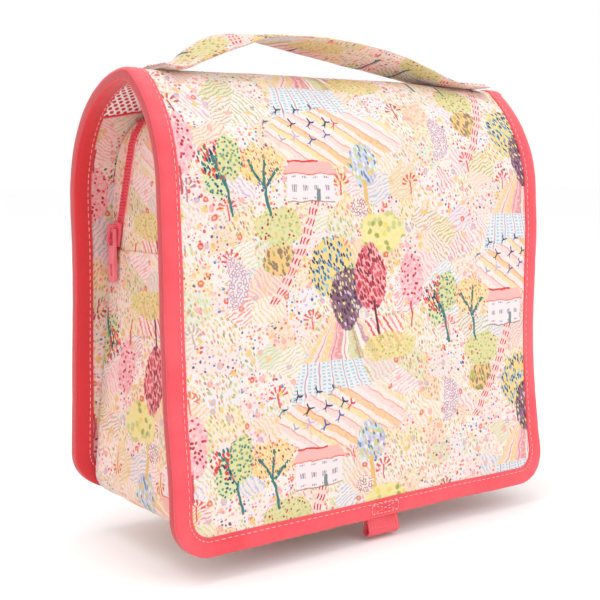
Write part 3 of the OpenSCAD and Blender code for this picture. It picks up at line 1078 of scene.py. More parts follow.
class Graph:
    """A node tree, with short calls for the nodes that the materials share."""

    def __init__(self, tree):
        self.tree = tree

    def node(self, kind, inputs=None, **settings):
        node = self.tree.nodes.new(kind)
        for key, value in settings.items():
            setattr(node, key, value)
        for key, value in (inputs or {}).items():
            self.feed(node.inputs[key], value)
        return node

    def feed(self, socket, value):
        if isinstance(value, Field):
            value = value.socket
        if isinstance(value, bpy.types.NodeSocket):
            self.tree.links.new(value, socket)
        else:
            socket.default_value = value

    def math(self, operation, *values, clamped=False):
        node = self.node("ShaderNodeMath", dict(enumerate(values)), operation=operation, use_clamp=clamped)
        return Field(self, node.outputs[0])

    def mix(self, share, below, above, blend="MIX"):
        node = self.node("ShaderNodeMix", data_type="RGBA", blend_type=blend)
        for index, value in ((0, share), (6, below), (7, above)):
            self.feed(node.inputs[index], value)
        return node.outputs[2]

    def vector(self, x, y):
        return self.node("ShaderNodeCombineXYZ", {"X": x, "Y": y, "Z": 0.0}).outputs[0]

    def split(self, vector):
        node = self.node("ShaderNodeSeparateXYZ", {0: vector})
        return [Field(self, output) for output in node.outputs]

    def noise(self, vector, scale, detail=2.0, roughness=0.5):
        node = self.node(
            "ShaderNodeTexNoise", {"Vector": vector, "Scale": scale, "Detail": detail, "Roughness": roughness}
        )
        return Field(self, node.outputs[0]), node.outputs[1]

    def voronoi(self, vector, scale, randomness):
        inputs = {"Vector": vector, "Scale": scale, "Randomness": randomness}
        return self.node("ShaderNodeTexVoronoi", inputs, voronoi_dimensions="2D").outputs

    def cells(self, vector, scale=1.0):
        """Distance to the nearest cell's point, and the cell's random colour."""
        outputs = self.voronoi(vector, scale, 1.0)
        return Field(self, outputs["Distance"]), outputs["Color"]

    def scatter(self, x, y, across, down, randomness):
        """Coordinates about the nearest scattered point, and three random numbers that belong to it."""
        outputs = self.voronoi(self.vector(x * across, y * down), 1.0, randomness)
        centre = self.split(outputs["Position"])
        pick = self.split(outputs["Color"])
        return x - centre[0] * (1 / across), y - centre[1] * (1 / down), pick

    def palette(self, value, colours, smooth=False):
        """One of the colours by value from 0 to 1."""
        node = self.node("ShaderNodeValToRGB", {0: value})
        ramp = node.color_ramp
        ramp.interpolation = "LINEAR" if smooth else "CONSTANT"
        for k, colour in enumerate(colours):
            stop = ramp.elements[k] if k < 2 else ramp.elements.new(0.99)
            stop.position = k / max(1, len(colours) - (1 if smooth else 0))
            stop.color = shade(colour)
        return node.outputs[0]

    def inside(self, distance, soft=0.3):
        """1 where the distance is below 0, with an edge about soft wide."""
        return self.math("MULTIPLY_ADD", distance, -1 / soft, 0.5, clamped=True)

    def over(self, value, limit, soft=0.05):
        return self.math("MULTIPLY_ADD", value, 1 / soft, 0.5 - limit / soft, clamped=True)

    def length(self, x, y):
        node = self.node("ShaderNodeVectorMath", {0: self.vector(x, y)}, operation="LENGTH")
        return Field(self, node.outputs["Value"])

    def larger(self, a, b):
        return self.math("MAXIMUM", a, b)

    def smaller(self, a, b):
        return self.math("MINIMUM", a, b)

    def ellipse(self, x, y, rx, ry):
        return (self.length(x * (1 / rx), y * (1 / ry)) - 1.0) * min(rx, ry)

    def oblong(self, x, y, rx, ry):
        return self.larger(abs(x) - rx, abs(y) - ry)

    def stroke(self, x, y, a, b, r):
        """Distance to a thick line from a to b."""
        run = math.hypot(b[0] - a[0], b[1] - a[1])
        c, s = (b[0] - a[0]) / run, (b[1] - a[1]) / run
        along = x * c + (y * s - (a[0] * c + a[1] * s))
        beside = y * c - (x * s + (a[1] * c - a[0] * s))
        past = along - self.math("MINIMUM", self.math("MAXIMUM", along, 0.0), run)
        return self.length(past, beside) - r

    def turned(self, x, y, degrees):
        c, s = math.cos(math.radians(degrees)), math.sin(math.radians(degrees))
        return x * c + y * s, y * c - x * s

    def stripes(self, x, pitch):
        """From 0 to 1 and back over each pitch."""
        return self.math("PINGPONG", x * (2 / pitch), 1.0)


def linear(c):
    c /= 255
    return c / 12.92 if c <= 0.04045 else ((c + 0.055) / 1.055) ** 2.4


def shade(colour):
    return (*[linear(c) for c in colour], 1.0)


# The print: a hand-drawn meadow that repeats on a half-drop lattice, in millimetres of cloth
REPEAT_X = 132.0
REPEAT_Y = 138.0

CREAM = (254, 244, 239)
BLUSH = (253, 226, 222)
STRAW = (248, 230, 172)
PEACH = (252, 208, 152)
MUSTARD = (240, 207, 112)
LEAF = (206, 216, 146)
MINT = (206, 230, 200)
SKY = (201, 229, 244)
LILAC = (205, 182, 222)
PINK = (250, 170, 185)
RED = (228, 58, 58)
CORAL = (244, 118, 96)
CRIMSON = (190, 48, 70)
PLUM = (88, 42, 72)
TEAL = (52, 128, 124)
NAVY = (44, 54, 110)
BLUE = (52, 140, 190)
OLIVE = (176, 180, 92)
MAUVE = (176, 128, 160)
ICE = (226, 240, 248)
AQUA = (150, 205, 232)
BROWN = (156, 130, 104)


class Meadow:
    """Draws the print: each step lays one more motif over the colour so far."""

    def __init__(self, graph, x, y):
        g = self.g = graph
        spot = g.vector(x * 0.1, y * 0.1)
        self.rough, shake = g.noise(spot, 1.3, 3.0)
        self.fine = g.noise(spot, 6.0, 3.0, 0.6)[0]
        jitter = g.split(shake)
        self.x = x + (jitter[0] - 0.5) * 3.4
        self.y = y + (jitter[1] - 0.5) * 3.4
        lean = self.x + self.y * 0.35
        self.leaf, leaf_id = g.cells(g.vector(lean * 0.68, self.y * 0.36))
        self.leaf_pick = g.split(leaf_id)
        self.round, round_id = g.cells(g.vector(self.x * 0.24, self.y * 0.24))
        self.round_pick = g.split(round_id)
        self.dot, dot_id = g.cells(g.vector(self.x * 0.5, self.y * 0.5))
        self.dot_pick = g.split(dot_id)
        self.colour = None

    def lay(self, mask, colour):
        if isinstance(colour, tuple):
            colour = shade(colour)
        self.colour = self.g.mix(mask, self.colour, colour)

    def local(self, cx, cy):
        """Coordinates about the nearest repeat of the point (cx, cy)."""
        g = self.g
        column = g.math("ROUND", (self.x - cx) * (1 / REPEAT_X))
        drop = g.math("PINGPONG", column, 1.0) * (REPEAT_Y / 2)
        x = self.x - cx - column * REPEAT_X
        y = self.y - cy + drop
        return x, y - g.math("ROUND", y * (1 / REPEAT_Y)) * REPEAT_Y

    def patches(self):
        """The ground: small fields of pale colour, each with its own dots, rows or hatching."""
        g = self.g
        place = g.vector(self.x * 0.07, self.y * 0.085)
        _, field_id = g.cells(place)
        kind, tint, angle = g.split(field_id)
        fields = [
            CREAM, STRAW, CREAM, BLUSH, PEACH, CREAM, LEAF, CREAM, ICE,
            CREAM, BLUSH, CREAM, MINT, BLUSH, CREAM, STRAW, BLUSH, CREAM,
        ]
        self.colour = g.palette(tint, fields)
        wash = g.over(self.fine, 0.5, 0.5)
        self.lay(wash * 0.85 + 0.12, CREAM)
        second = g.math("FRACT", tint * 7.13)
        # hatched fields
        rows_of = []
        for c, k, pitch in ((0.8, 0.6, 2.3), (0.45, -0.9, 1.9)):
            rows_of.append(g.stripes(self.x * c + self.y * k + self.rough * 4.0, pitch))
        across = g.over(angle, 0.5)
        rows = rows_of[0] * across + rows_of[1] * (1.0 - across)
        ink = g.palette(second, [PEACH, PINK, MUSTARD, AQUA, CORAL, OLIVE, PINK, LILAC, MUSTARD, LEAF])
        broken = g.over(self.fine, 0.42, 0.1)
        self.lay(g.inside(rows - 0.36, 0.35) * g.inside(kind - 0.34, 0.02) * broken * 0.8, ink)
        # fields of small leaves
        leafy = g.over(kind, 0.34, 0.02) * g.inside(kind - 0.62, 0.02)
        greens = [OLIVE, LEAF, MUSTARD, (236, 214, 120), OLIVE, PEACH, CORAL, LEAF, BROWN]
        green = g.palette(self.leaf_pick[0] * 0.7 + angle * 0.3, greens)
        self.lay(g.inside(self.leaf - 0.33, 0.14) * leafy * 0.85, green)
        # dotted fields
        dotted = g.over(kind, 0.62, 0.02)
        brights = [
            RED, PEACH, PINK, CORAL, MUSTARD, NAVY, PINK, RED, LILAC, BLUE, CORAL, MUSTARD, LEAF, PINK,
        ]
        bright = g.palette(self.dot_pick[0], brights)
        size = self.dot_pick[1] * 0.34 + 0.08
        self.lay(g.inside(self.dot - size, 0.12) * dotted * 0.9, bright)
        # blossoms here and there
        blossom = g.palette(self.round_pick[0], [PINK, MUSTARD, LILAC, RED, PEACH, PINK])
        few = g.over(self.round_pick[1], 0.84, 0.02)
        self.lay(g.inside(abs(self.round - 0.24) - 0.12, 0.12) * few * 0.8, blossom)
        self.lay(g.inside(self.round - 0.12, 0.08) * few, MUSTARD)

    def sprigs(self):
        """Small red bushes, each a short stem under a burst of dashes, scattered between the fields."""
        g = self.g
        x, y, pick = g.scatter(self.x, self.y, 0.045, 0.045, 0.7)
        angle = g.math("ARCTAN2", x, y)
        reach = g.length(x, y)
        rays = g.over(g.math("SINE", angle * 11.0), 0.1, 0.4) * g.inside(abs(reach - 4.0) - 1.5, 0.5)
        rays = rays * g.inside(abs(angle) - 1.7, 0.2)
        stem = g.inside(g.larger(abs(x + y * 0.12) - 0.45, abs(y + 1.6) - 3.6), 0.3)
        some = g.inside(pick[0] - 0.3, 0.02)
        self.lay(g.larger(rays, stem) * some * 0.9, g.palette(pick[1], [RED, CORAL, CRIMSON, MAUVE, RED]))

    def crown(self, x, y, rx, ry, gap, leaves, kind="leaf", fill=0.4, cover=0.9):
        """A tree's or bush's head, of leaves over its gap colour."""
        g = self.g
        rough_edge = (self.rough - 0.5) * 5.0 + (self.fine - 0.5) * 3.0
        body = g.inside(g.ellipse(x, y, rx, ry) + rough_edge, 0.5)
        if gap:
            self.lay(body * cover, gap)
        distance, pick = {
            "leaf": (self.leaf, self.leaf_pick),
            "round": (self.round, self.round_pick),
            "dot": (self.dot, self.dot_pick),
        }[kind]
        self.lay(body * g.inside(distance - fill, 0.1), g.palette(pick[2], leaves))

    def bubbles(self, x, y, rx, ry, ground, ink):
        """A bush drawn as a net of small rings."""
        g = self.g
        body = g.inside(g.ellipse(x, y, rx, ry) + (self.fine - 0.5) * 3.0, 0.5)
        self.lay(body * 0.8, ground)
        self.lay(body * g.inside(abs(self.dot - 0.42) - 0.1, 0.12) * 0.85, ink)

    def furrows(self, x, y, spread, width, height, colours):
        """Rows that fan out downwards from the point (0, 0), inside a soft-edged wedge."""
        g = self.g
        down = g.math("MAXIMUM", 0.0 - y, 1.0)
        slope = g.math("DIVIDE", x, down + 4.0) + (self.rough - 0.5) * 0.08
        wedge = g.larger(abs(slope) - width, abs(y + height / 2 + 1) - height / 2)
        body = g.inside(wedge * 8.0 + (self.fine - 0.5) * 3.0, 0.6)
        self.lay(body * 0.9, CREAM)
        band = slope * (0.5 / width) + 0.5
        self.lay(body * g.over(self.fine, 0.38, 0.25) * 0.75, g.palette(band, colours))
        self.lay(body * g.inside(g.stripes(slope, spread) - 0.1, 0.12) * 0.8, (214, 120, 120))

    def lines(self, x, y, strokes, r, colour):
        """Thick lines from point to point, such as trunks and branches."""
        g = self.g
        near = None
        for a, b in strokes:
            d = g.stroke(x, y, a, b, r)
            near = d if near is None else g.smaller(near, d)
        self.lay(g.inside(near, 0.35), colour)

    def ruled_field(self, x, y):
        """A pale blue field with ruled rows that fan out, and a plot of pink and orange bands above it."""
        g = self.g
        fan = g.math("DIVIDE", x, 62.0 - y) * 60.0
        body = g.inside(g.oblong(fan, y + x * 0.12, 22.0, 13.0) + (self.rough - 0.5) * 6, 0.8)
        self.lay(body * 0.85, (240, 245, 249))
        rows = g.stripes(fan + y * 0.15, 8.0)
        ticks = g.stripes(y, 1.7)
        between = g.inside(abs(rows - 0.6) - 0.22, 0.1)
        self.lay(body * between * g.inside(ticks - 0.45, 0.4) * 0.9, (140, 206, 232))
        self.lay(body * g.inside(rows - 0.08, 0.08) * 0.75, MAUVE)
        above = y - 22.0
        band = g.inside(g.oblong(x - 20.0, above, 26.0, 8.0) + (self.rough - 0.5) * 6, 0.8)
        self.lay(band * 0.9, CREAM)
        wave = x + above * 0.7 + self.fine * 3.0
        bands = g.math("FRACT", wave * 0.083)
        self.lay(band * g.inside(g.stripes(wave, 4.0) - 0.42, 0.3) * 0.9,
                 g.palette(bands, [PEACH, (246, 96, 140), RED, MUSTARD, CORAL, PINK, BLUSH, CORAL]))

    def wide_fields(self, x, y):
        """Long soft furrows of straw and peach, with coral rows between them."""
        g = self.g
        sweep = y + x * 0.62
        body = g.inside(g.ellipse(x, y, 40.0, 15.0) + (self.rough - 0.5) * 8, 1.5)
        band = g.math("FRACT", sweep * 0.045)
        self.lay(body * 0.8, g.palette(band, [CREAM, STRAW, CREAM, PEACH, CREAM, BLUSH]))
        self.lay(body * g.inside(g.stripes(sweep, 7.5) - 0.09, 0.08) * 0.7, CORAL)

    def house(self, x, y):
        """A long white house: roof, eaves, ridge, walls, panes, door and the line it stands on."""
        g = self.g
        roof = g.larger(abs(x) + (y - 7.0) * 0.8 - 16.0, abs(y - 9.5) - 3.2)
        self.lay(g.inside(roof, 0.4), (250, 196, 190))
        self.lay(g.inside(g.larger(abs(x) - 15.5, abs(y - 6.4) - 0.35), 0.3), CORAL)
        self.lay(g.inside(g.larger(abs(x + 4.0) - 9.0, abs(y - 12.6) - 0.5), 0.3), RED)
        self.lay(g.inside(g.oblong(x, y, 14.0, 6.2), 0.4), (250, 243, 246))
        pane_x = abs(g.math("FRACT", x * 0.155 + 0.02) - 0.5)
        pane_y = abs(g.math("FRACT", y * 0.17 + 0.5) - 0.5)
        panes = g.inside(g.larger(pane_x * 6.5 - 1.35, pane_y * 5.9 - 1.3), 0.3)
        bars = g.over(g.stripes(x, 1.3), 0.3, 0.2)
        self.lay(panes * bars * g.inside(g.oblong(x, y, 12.5, 5.4), 0.3) * 0.75, (120, 104, 136))
        self.lay(g.inside(g.oblong(x - 4.2, y + 3.6, 1.2, 2.9), 0.3), (126, 146, 150))
        self.lay(g.inside(g.oblong(x, y + 6.6, 14.0, 0.3), 0.3) * 0.8, BROWN)

    def path(self, x, y):
        """Three rows of red dashes that curve down from the house."""
        g = self.g
        bend = x - y * 0.3 + y * y * 0.0055
        rows = g.inside(abs(g.math("FRACT", bend * 0.5 + 0.5) - 0.5) - 0.22, 0.1)
        width = g.inside(abs(bend) - 2.9, 0.4) * g.inside(abs(y + 23.0) - 25.0, 0.5)
        dashes = g.inside(g.stripes(y + bend * 0.3, 4.6) - 0.62, 0.2)
        self.lay(width * 0.9, BLUSH)
        self.lay(width * rows * dashes, g.palette(self.leaf_pick[0], [RED, CRIMSON, RED, CORAL]))

    def birds(self, x, y, rx, ry):
        """A scatter of small swallows, each with two swept wings and a forked tail."""
        g = self.g
        bx, by, pick = g.scatter(x, y, 0.11, 0.13, 0.55)
        bx, by = g.turned(bx, by, -35)
        wings = g.larger(abs(by - abs(bx) * 0.75) - 0.5, abs(bx) - 2.3)
        body = g.larger(abs(bx) - 0.42, abs(by + 0.9) - 1.7)
        tail = g.larger(abs(abs(bx) * 1.5 + by + 1.9) - 0.35, abs(by + 2.7) - 0.8)
        bird = g.inside(g.smaller(g.smaller(wings, body), tail), 0.3)
        zone = g.inside(g.ellipse(x, y, rx, ry), 0.8) * g.over(pick[1], 0.22)
        inks = [RED, (92, 130, 200), PLUM, LILAC, (70, 100, 180), RED, NAVY]
        self.lay(bird * zone, g.palette(pick[0], inks))


def draw_meadow(graph, x, y):
    """The whole print: the fields, then each group of motifs about its own point of the repeat."""
    m = Meadow(graph, x, y)
    m.patches()
    m.sprigs()

    x, y = m.local(-30.0, 72.0)
    m.ruled_field(x, y)
    m.birds(x + 14.0, y + 6.0, 22.0, 8.0)

    x, y = m.local(-22.0, 192.0)
    m.wide_fields(x, y)

    x, y = m.local(-40.0, 168.0)
    m.crown(x - 34.0, y - 10.0, 9.0, 11.0, SKY, [LILAC, MUSTARD, (120, 140, 180), CREAM, LEAF], "leaf", 0.45)
    m.lines(x - 34.0, y, [((0.0, 2.0), (2.5, -16.0))], 1.3, (236, 200, 120))
    m.birds(x - 2.0, y - 29.0, 24.0, 10.0)

    x, y = m.local(-22.0, 112.0)
    m.furrows(x, y + 2.0, 0.3, 0.85, 26.0,
              [MUSTARD, BLUSH, MUSTARD, PINK, (226, 116, 120), CREAM, LEAF, OLIVE, CREAM, MAUVE, PEACH])
    m.bubbles(x + 66.0, y - 12.0, 12.0, 12.0, (244, 236, 240), MAUVE)
    m.bubbles(x - 12.0, y - 45.0, 6.0, 4.5, CREAM, (150, 70, 80))
    browns = [BROWN, (250, 204, 130), BROWN, OLIVE]
    m.crown(x + 36.0, y - 21.0, 11.0, 8.0, (240, 206, 136), browns, "leaf", 0.5)

    x, y = m.local(-77.0, 166.0)
    hedge = [OLIVE, MUSTARD, LEAF, CRIMSON, OLIVE, LEAF]
    m.crown(x - 19.0, y + 17.0, 14.0, 9.0, (226, 228, 166), hedge, "dot", 0.3)
    m.crown(x + 15.0, y - 7.0, 6.5, 10.0, (226, 234, 178), [TEAL, (90, 160, 140), TEAL, NAVY], "dot", 0.3)
    m.crown(x - 10.0, y - 12.0, 13.0, 9.0, (252, 226, 150), [PEACH, MUSTARD, CORAL], "dot", 0.25, 0.8)
    m.lines(x, y, [((-7.0, -11.0), (-10.5, 6.0)), ((-10.5, 3.0), (-16.0, 16.0)), ((-10.5, 5.0), (-5.0, 17.0)),
                   ((14.0, -12.0), (11.0, 3.0)), ((11.0, 2.0), (3.0, 13.0)), ((11.0, 3.0), (12.0, 16.0)),
                   ((11.0, 1.0), (19.0, 10.0))], 0.75, TEAL)
    m.crown(x + 11.0, y - 14.0, 13.0, 9.0, None, [RED, NAVY, RED, CORAL, TEAL, RED], "leaf", 0.42)
    m.crown(x - 11.0, y - 12.0, 12.0, 12.0, None, [NAVY, CREAM, CORAL, CREAM, NAVY, MUSTARD], "leaf", 0.22)

    x, y = m.local(-40.0, 168.0)
    m.path(x - 3.0, y + 8.0)
    m.house(x - 1.0, y + 1.0)

    x, y = m.local(-4.0, 118.0)
    straws = [(240, 228, 120), LEAF, (246, 240, 170), OLIVE]
    blues = [BLUE, (250, 215, 130), BLUE, NAVY, (150, 205, 222)]
    plums = [(226, 234, 150), PLUM, (228, 208, 228), PLUM, MAUVE]
    pinks = [PINK, (226, 76, 96), PINK, BLUSH, CRIMSON]
    reds = [(222, 92, 108), CRIMSON, (206, 74, 92), (140, 34, 56), (226, 110, 120)]
    m.crown(x - 9.0, y - 27.0, 15.0, 10.0, (245, 238, 160), straws, "round", 0.36)
    m.crown(x + 24.0, y - 10.0, 14.0, 15.0, (246, 222, 140), blues, "leaf", 0.4)
    m.crown(x + 16.0, y + 5.0, 10.0, 15.0, (116, 72, 106), plums, "leaf", 0.36)
    m.crown(x - 27.0, y - 2.0, 8.0, 14.0, (253, 200, 206), pinks, "dot", 0.36)
    m.lines(x, y, [((26.0, -10.0), (26.0, -22.0))], 0.6, (214, 84, 96))
    m.crown(x, y - 4.0, 10.5, 16.5, (246, 176, 180), reds, "leaf", 0.5)
    m.lines(x, y, [((1.0, -8.0), (4.5, -27.0))], 0.8, (120, 34, 54))
    m.crown(x - 52.0, y + 6.0, 6.5, 11.0, (228, 232, 170), [TEAL, OLIVE, (110, 170, 140)], "dot", 0.32)
    m.crown(x - 10.0, y + 31.0, 17.0, 7.0, (238, 224, 140), [LEAF, MUSTARD, OLIVE], "dot", 0.26, 0.7)
    return m.colour


def print_group():
    """The print as one group: from the cloth's own metres to a colour."""
    group = bpy.data.node_groups.new("meadow_print", "ShaderNodeTree")
    group.interface.new_socket("Cloth", in_out="INPUT", socket_type="NodeSocketVector")
    group.interface.new_socket("Color", in_out="OUTPUT", socket_type="NodeSocketColor")
    g = Graph(group)
    start = g.node("NodeGroupInput")
    x, y, _ = g.split(start.outputs[0])
    end = g.node("NodeGroupOutput")
    g.feed(end.inputs[0], draw_meadow(g, x * 1000.0, y * 1000.0))
    return group


def cloth(name, roughness, sheen=0.0, specular=0.3):
    """A new material and its graph, with its own shader's even values set."""
    material = bpy.data.materials.new(name)
    material.use_nodes = True
    bsdf = material.node_tree.nodes["Principled BSDF"]
    bsdf.inputs["Roughness"].default_value = roughness
    bsdf.inputs["Sheen Weight"].default_value = sheen
    bsdf.inputs["Sheen Roughness"].default_value = 0.5
    bsdf.inputs["Specular IOR Level"].default_value = specular
    return material, Graph(material.node_tree), bsdf


def finish_cloth(g, bsdf, colour, height, depth):
    """Connects the colour and the relief to the shader; depth is in metres."""
    g.feed(bsdf.inputs["Base Color"], colour)
    bump = g.node("ShaderNodeBump", {"Height": height, "Distance": depth, "Strength": 1.0})
    g.feed(bsdf.inputs["Normal"], bump.outputs[0])


def fabric_uv(g):
    return g.node("ShaderNodeUVMap", uv_map="fabric").outputs[0]


def weave(g, vector, pitch):
    """The relief of a plain weave from 0 to 1, with threads pitch metres apart."""
    u, v, _ = g.split(vector)
    warp = g.stripes(u, pitch)
    weft = g.stripes(v, pitch)
    return g.larger(warp * (weft * 0.5 + 0.5), weft * (1.0 - warp * 0.5))


def printed_cloth(name, group, sheen, tint):
    """Printed cotton: the print under a soft shading and small creases, with a fine weave."""
    material, g, bsdf = cloth(name, 0.62, sheen, 0.35)
    uv = fabric_uv(g)
    picture = g.node("ShaderNodeGroup", node_tree=group)
    g.feed(picture.inputs[0], uv)
    position = g.node("ShaderNodeTexCoord").outputs["Object"]
    soft = g.noise(position, 60.0, 3.0)[0]
    colour = g.mix(soft * 0.3 + 0.7, picture.outputs[0], shade(tint), "MULTIPLY")
    creases = g.noise(position, 95.0, 4.0, 0.6)[0]
    finish_cloth(g, bsdf, colour, weave(g, uv, 0.0005) * 0.08 + creases, 0.0009)
    return material


def dyed_cloth(name, low, high, roughness, sheen, pitch, relief, painted_shade=()):
    """Dyed cloth with a weave and soft fading between two tones; bands across the fabric's width can be
    coloured darker as painted shade.
    """
    material, g, bsdf = cloth(name, roughness, sheen)
    position = g.node("ShaderNodeTexCoord").outputs["Object"]
    fade = g.noise(position, 34.0, 4.0, 0.6)[0]
    colour = g.palette(g.over(fade, 0.5, 0.5), [low, high], smooth=True)
    across = g.split(fabric_uv(g))[1]
    # Painted shade: darker tones from the given widths across the tape, where its edge and reverse half would
    # lie in shade
    for start, tone in painted_shade:
        colour = g.mix(g.over(across, start, 0.0005), colour, shade(tone))
    threads = weave(g, fabric_uv(g), pitch)
    colour = g.mix((1.0 - threads) * 0.16, colour, shade([c * 0.72 for c in low]))
    fine = g.noise(position, 420.0, 3.0)[0]
    finish_cloth(g, bsdf, colour, threads * 0.6 + fine, relief)
    return material


def net_material():
    """White knitted net over coral: rows of rounded holes, each row half a hole along from the last."""
    material, g, bsdf = cloth("white_net", 0.6, 0.1)
    u, v, _ = g.split(fabric_uv(g))
    pitch = 0.0036
    near = None
    for shift in (0.0, 0.5):
        # The second row's holes lie half a hole along
        du = g.math("FRACT", u * (1 / pitch) + shift) - 0.5
        dv = g.math("FRACT", v * (0.62 / pitch) + shift) - 0.5
        d = g.length(du, dv * 1.25)
        near = d if near is None else g.smaller(near, d)
    hole = g.inside(near - 0.27, 0.07)
    fine = g.noise(g.node("ShaderNodeTexCoord").outputs["Object"], 900.0, 2.0)[0]
    yarn = g.mix(fine * 0.3, shade((252, 246, 242)), shade((236, 214, 208)))
    colour = g.mix(hole, yarn, shade((214, 52, 66)))
    finish_cloth(g, bsdf, colour, (1.0 - hole) + fine * 0.2, 0.0006)
    return material


def glossy(name, low, high, roughness, coat):
    """Moulded or enamelled surface: two close tones, fine scuffs and an orange-peel relief."""
    material, g, bsdf = cloth(name, roughness, 0.0, 0.5)
    bsdf.inputs["Coat Weight"].default_value = coat
    bsdf.inputs["Coat Roughness"].default_value = 0.15
    position = g.node("ShaderNodeTexCoord").outputs["Object"]
    cloud = g.noise(position, 260.0, 3.0)[0]
    fine = g.noise(position, 1800.0, 2.0)[0]
    colour = g.palette(g.over(cloud, 0.5, 0.4), [low, high], smooth=True)
    finish_cloth(g, bsdf, colour, cloud + fine * 0.15, 0.00012)
    g.feed(bsdf.inputs["Roughness"], cloud * 0.2 + (roughness - 0.1))
    return material


def hook_material():
    """Hook-and-loop tape: rows of fine loops."""
    material, g, bsdf = cloth("hook_tape", 0.9, 0.4)
    uv = fabric_uv(g)
    loops, _ = g.cells(uv, 1400.0)
    fine = g.noise(uv, 500.0, 3.0)[0]
    colour = g.mix(loops, shade((250, 148, 152)), shade((222, 104, 112)))
    finish_cloth(g, bsdf, colour, 1.0 - loops + fine * 0.3, 0.0006)
    return material


def board_material():
    """Pale board with a faint grain."""
    material, g, bsdf = cloth("stiff_board", 0.7)
    position = g.node("ShaderNodeTexCoord").outputs["Object"]
    grain = g.noise(position, 500.0, 4.0)[0]
    finish_cloth(g, bsdf, g.mix(grain, shade((246, 243, 235)), shade((226, 222, 210))), grain, 0.0001)
    return material


# Painted shade on the binding: its folded edge and its hidden reverse half are coloured darker, standing in
# for shade; (width across the tape where a tone starts, tone)
TAPE_PAINTED_SHADE = ((0.0124, (196, 34, 44)), (0.0152, (228, 52, 60)))


def make_materials():
    """Every material of the bag, by a short name."""
    group = print_group()
    looks = {
        "print": printed_cloth("printed_cotton", group, 0.1, (239, 230, 228)),
        "lining": printed_cloth("printed_lining", group, 0.05, (236, 216, 211)),
    }
    # short name: name, darker tone, lighter tone, roughness, sheen, weave's pitch, relief, and for the
    # binding the painted shade on its folded edge and reverse
    for key, *values in (
        ("binding", "coral_binding", (238, 68, 80), (248, 95, 105), 0.68, 0.35, 0.0007, 0.00022,
         TAPE_PAINTED_SHADE),
        ("backing", "coral_backing", (222, 56, 68), (236, 72, 84), 0.78, 0.3, 0.0007, 0.0002),
        ("webbing", "coral_webbing", (236, 78, 92), (250, 104, 112), 0.6, 0.2, 0.0016, 0.0005),
    ):
        looks[key] = dyed_cloth(*values)
    looks["net"] = net_material()
    looks["coil"] = glossy("zip_coil", (222, 46, 62), (240, 78, 92), 0.42, 0.2)
    looks["tape"] = dyed_cloth("zip_tape", (238, 96, 110), (250, 128, 140), 0.6, 0.15, 0.001, 0.0002)
    # short name: name, darker tone, lighter tone, roughness, coat
    for key, *values in (
        ("enamel", "slider_enamel", (236, 84, 104), (244, 108, 124), 0.3, 0.5),
        ("puller", "puller_enamel", (240, 108, 124), (248, 134, 146), 0.32, 0.4),
        ("thread", "pale_thread", (246, 148, 152), (252, 182, 180), 0.6, 0.0),
    ):
        looks[key] = glossy(*values)
    looks["hook"] = hook_material()
    looks["board"] = board_material()
    return looks


# ---------------------------------------------------------------- the studio

CAMERA_AT = (-0.3568, -0.4557, -0.0598)
CAMERA_TURN = (83.48, 0.0, -36.42)
CAMERA_LENS = 66.14
FLOOR_LEVEL = LOOP_LOW.z - 0.002
FLOOR_HALF = 12.0


def studio():
    """The camera, the white floor, two soft lamps and an even white surround."""
    scene = bpy.context.scene
    scene.view_settings.view_transform = "Standard"
    camera = bpy.data.objects.new("camera", bpy.data.cameras.new("camera"))
    camera.location = CAMERA_AT
    camera.rotation_euler = [math.radians(a) for a in CAMERA_TURN]
    camera.data.lens = CAMERA_LENS
    scene.collection.objects.link(camera)
    scene.camera = camera

    white, g, bsdf = cloth("studio_white", 0.9)
    g.feed(bsdf.inputs["Base Color"], shade((254, 254, 254)))
    corners = [(x * FLOOR_HALF, y * FLOOR_HALF, FLOOR_LEVEL) for x, y in ((-1, -1), (1, -1), (1, 1), (-1, 1))]
    floor = make("studio_floor", corners, [(0, 1, 2, 3)], smooth=False)
    floor.data.materials.append(white)

    # name, place, target, size in metres, watts
    for name, place, target, size, power in (
        ("key_light", (0.15, -0.95, 0.65), (0, 0, -0.05), 0.7, 2.3),
        ("top_light", (-0.3, 0.1, 1.7), (0, 0, -0.1), 1.2, 10),
    ):
        light = bpy.data.lights.new(name, "AREA")
        light.size = size
        light.energy = power
        lamp = bpy.data.objects.new(name, light)
        lamp.location = place
        lamp.rotation_euler = (Vector(target) - Vector(place)).to_track_quat("-Z", "Y").to_euler()
        scene.collection.objects.link(lamp)

    world = bpy.data.worlds.new("studio_light")
    world.use_nodes = True
    world.node_tree.nodes["Background"].inputs["Color"].default_value = (1, 1, 1, 1)
    world.node_tree.nodes["Background"].inputs["Strength"].default_value = 1.0
    scene.world = world


# ---------------------------------------------------------------- the bag


def finish_piece(obj, materials, slot, body=None, stands_for=(), sheet=None):
    """Gives a piece its materials and body, and hides the nodes that it replaces; slot is not used.

    sheet is (flat size in metres, how it is held, what it rests on).
    """
    for material in materials:
        obj.data.materials.append(material)
    if body:
        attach(obj, body)
    if stands_for:
        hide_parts(*stands_for)
    if sheet:
        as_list(sheet[2])
    return obj


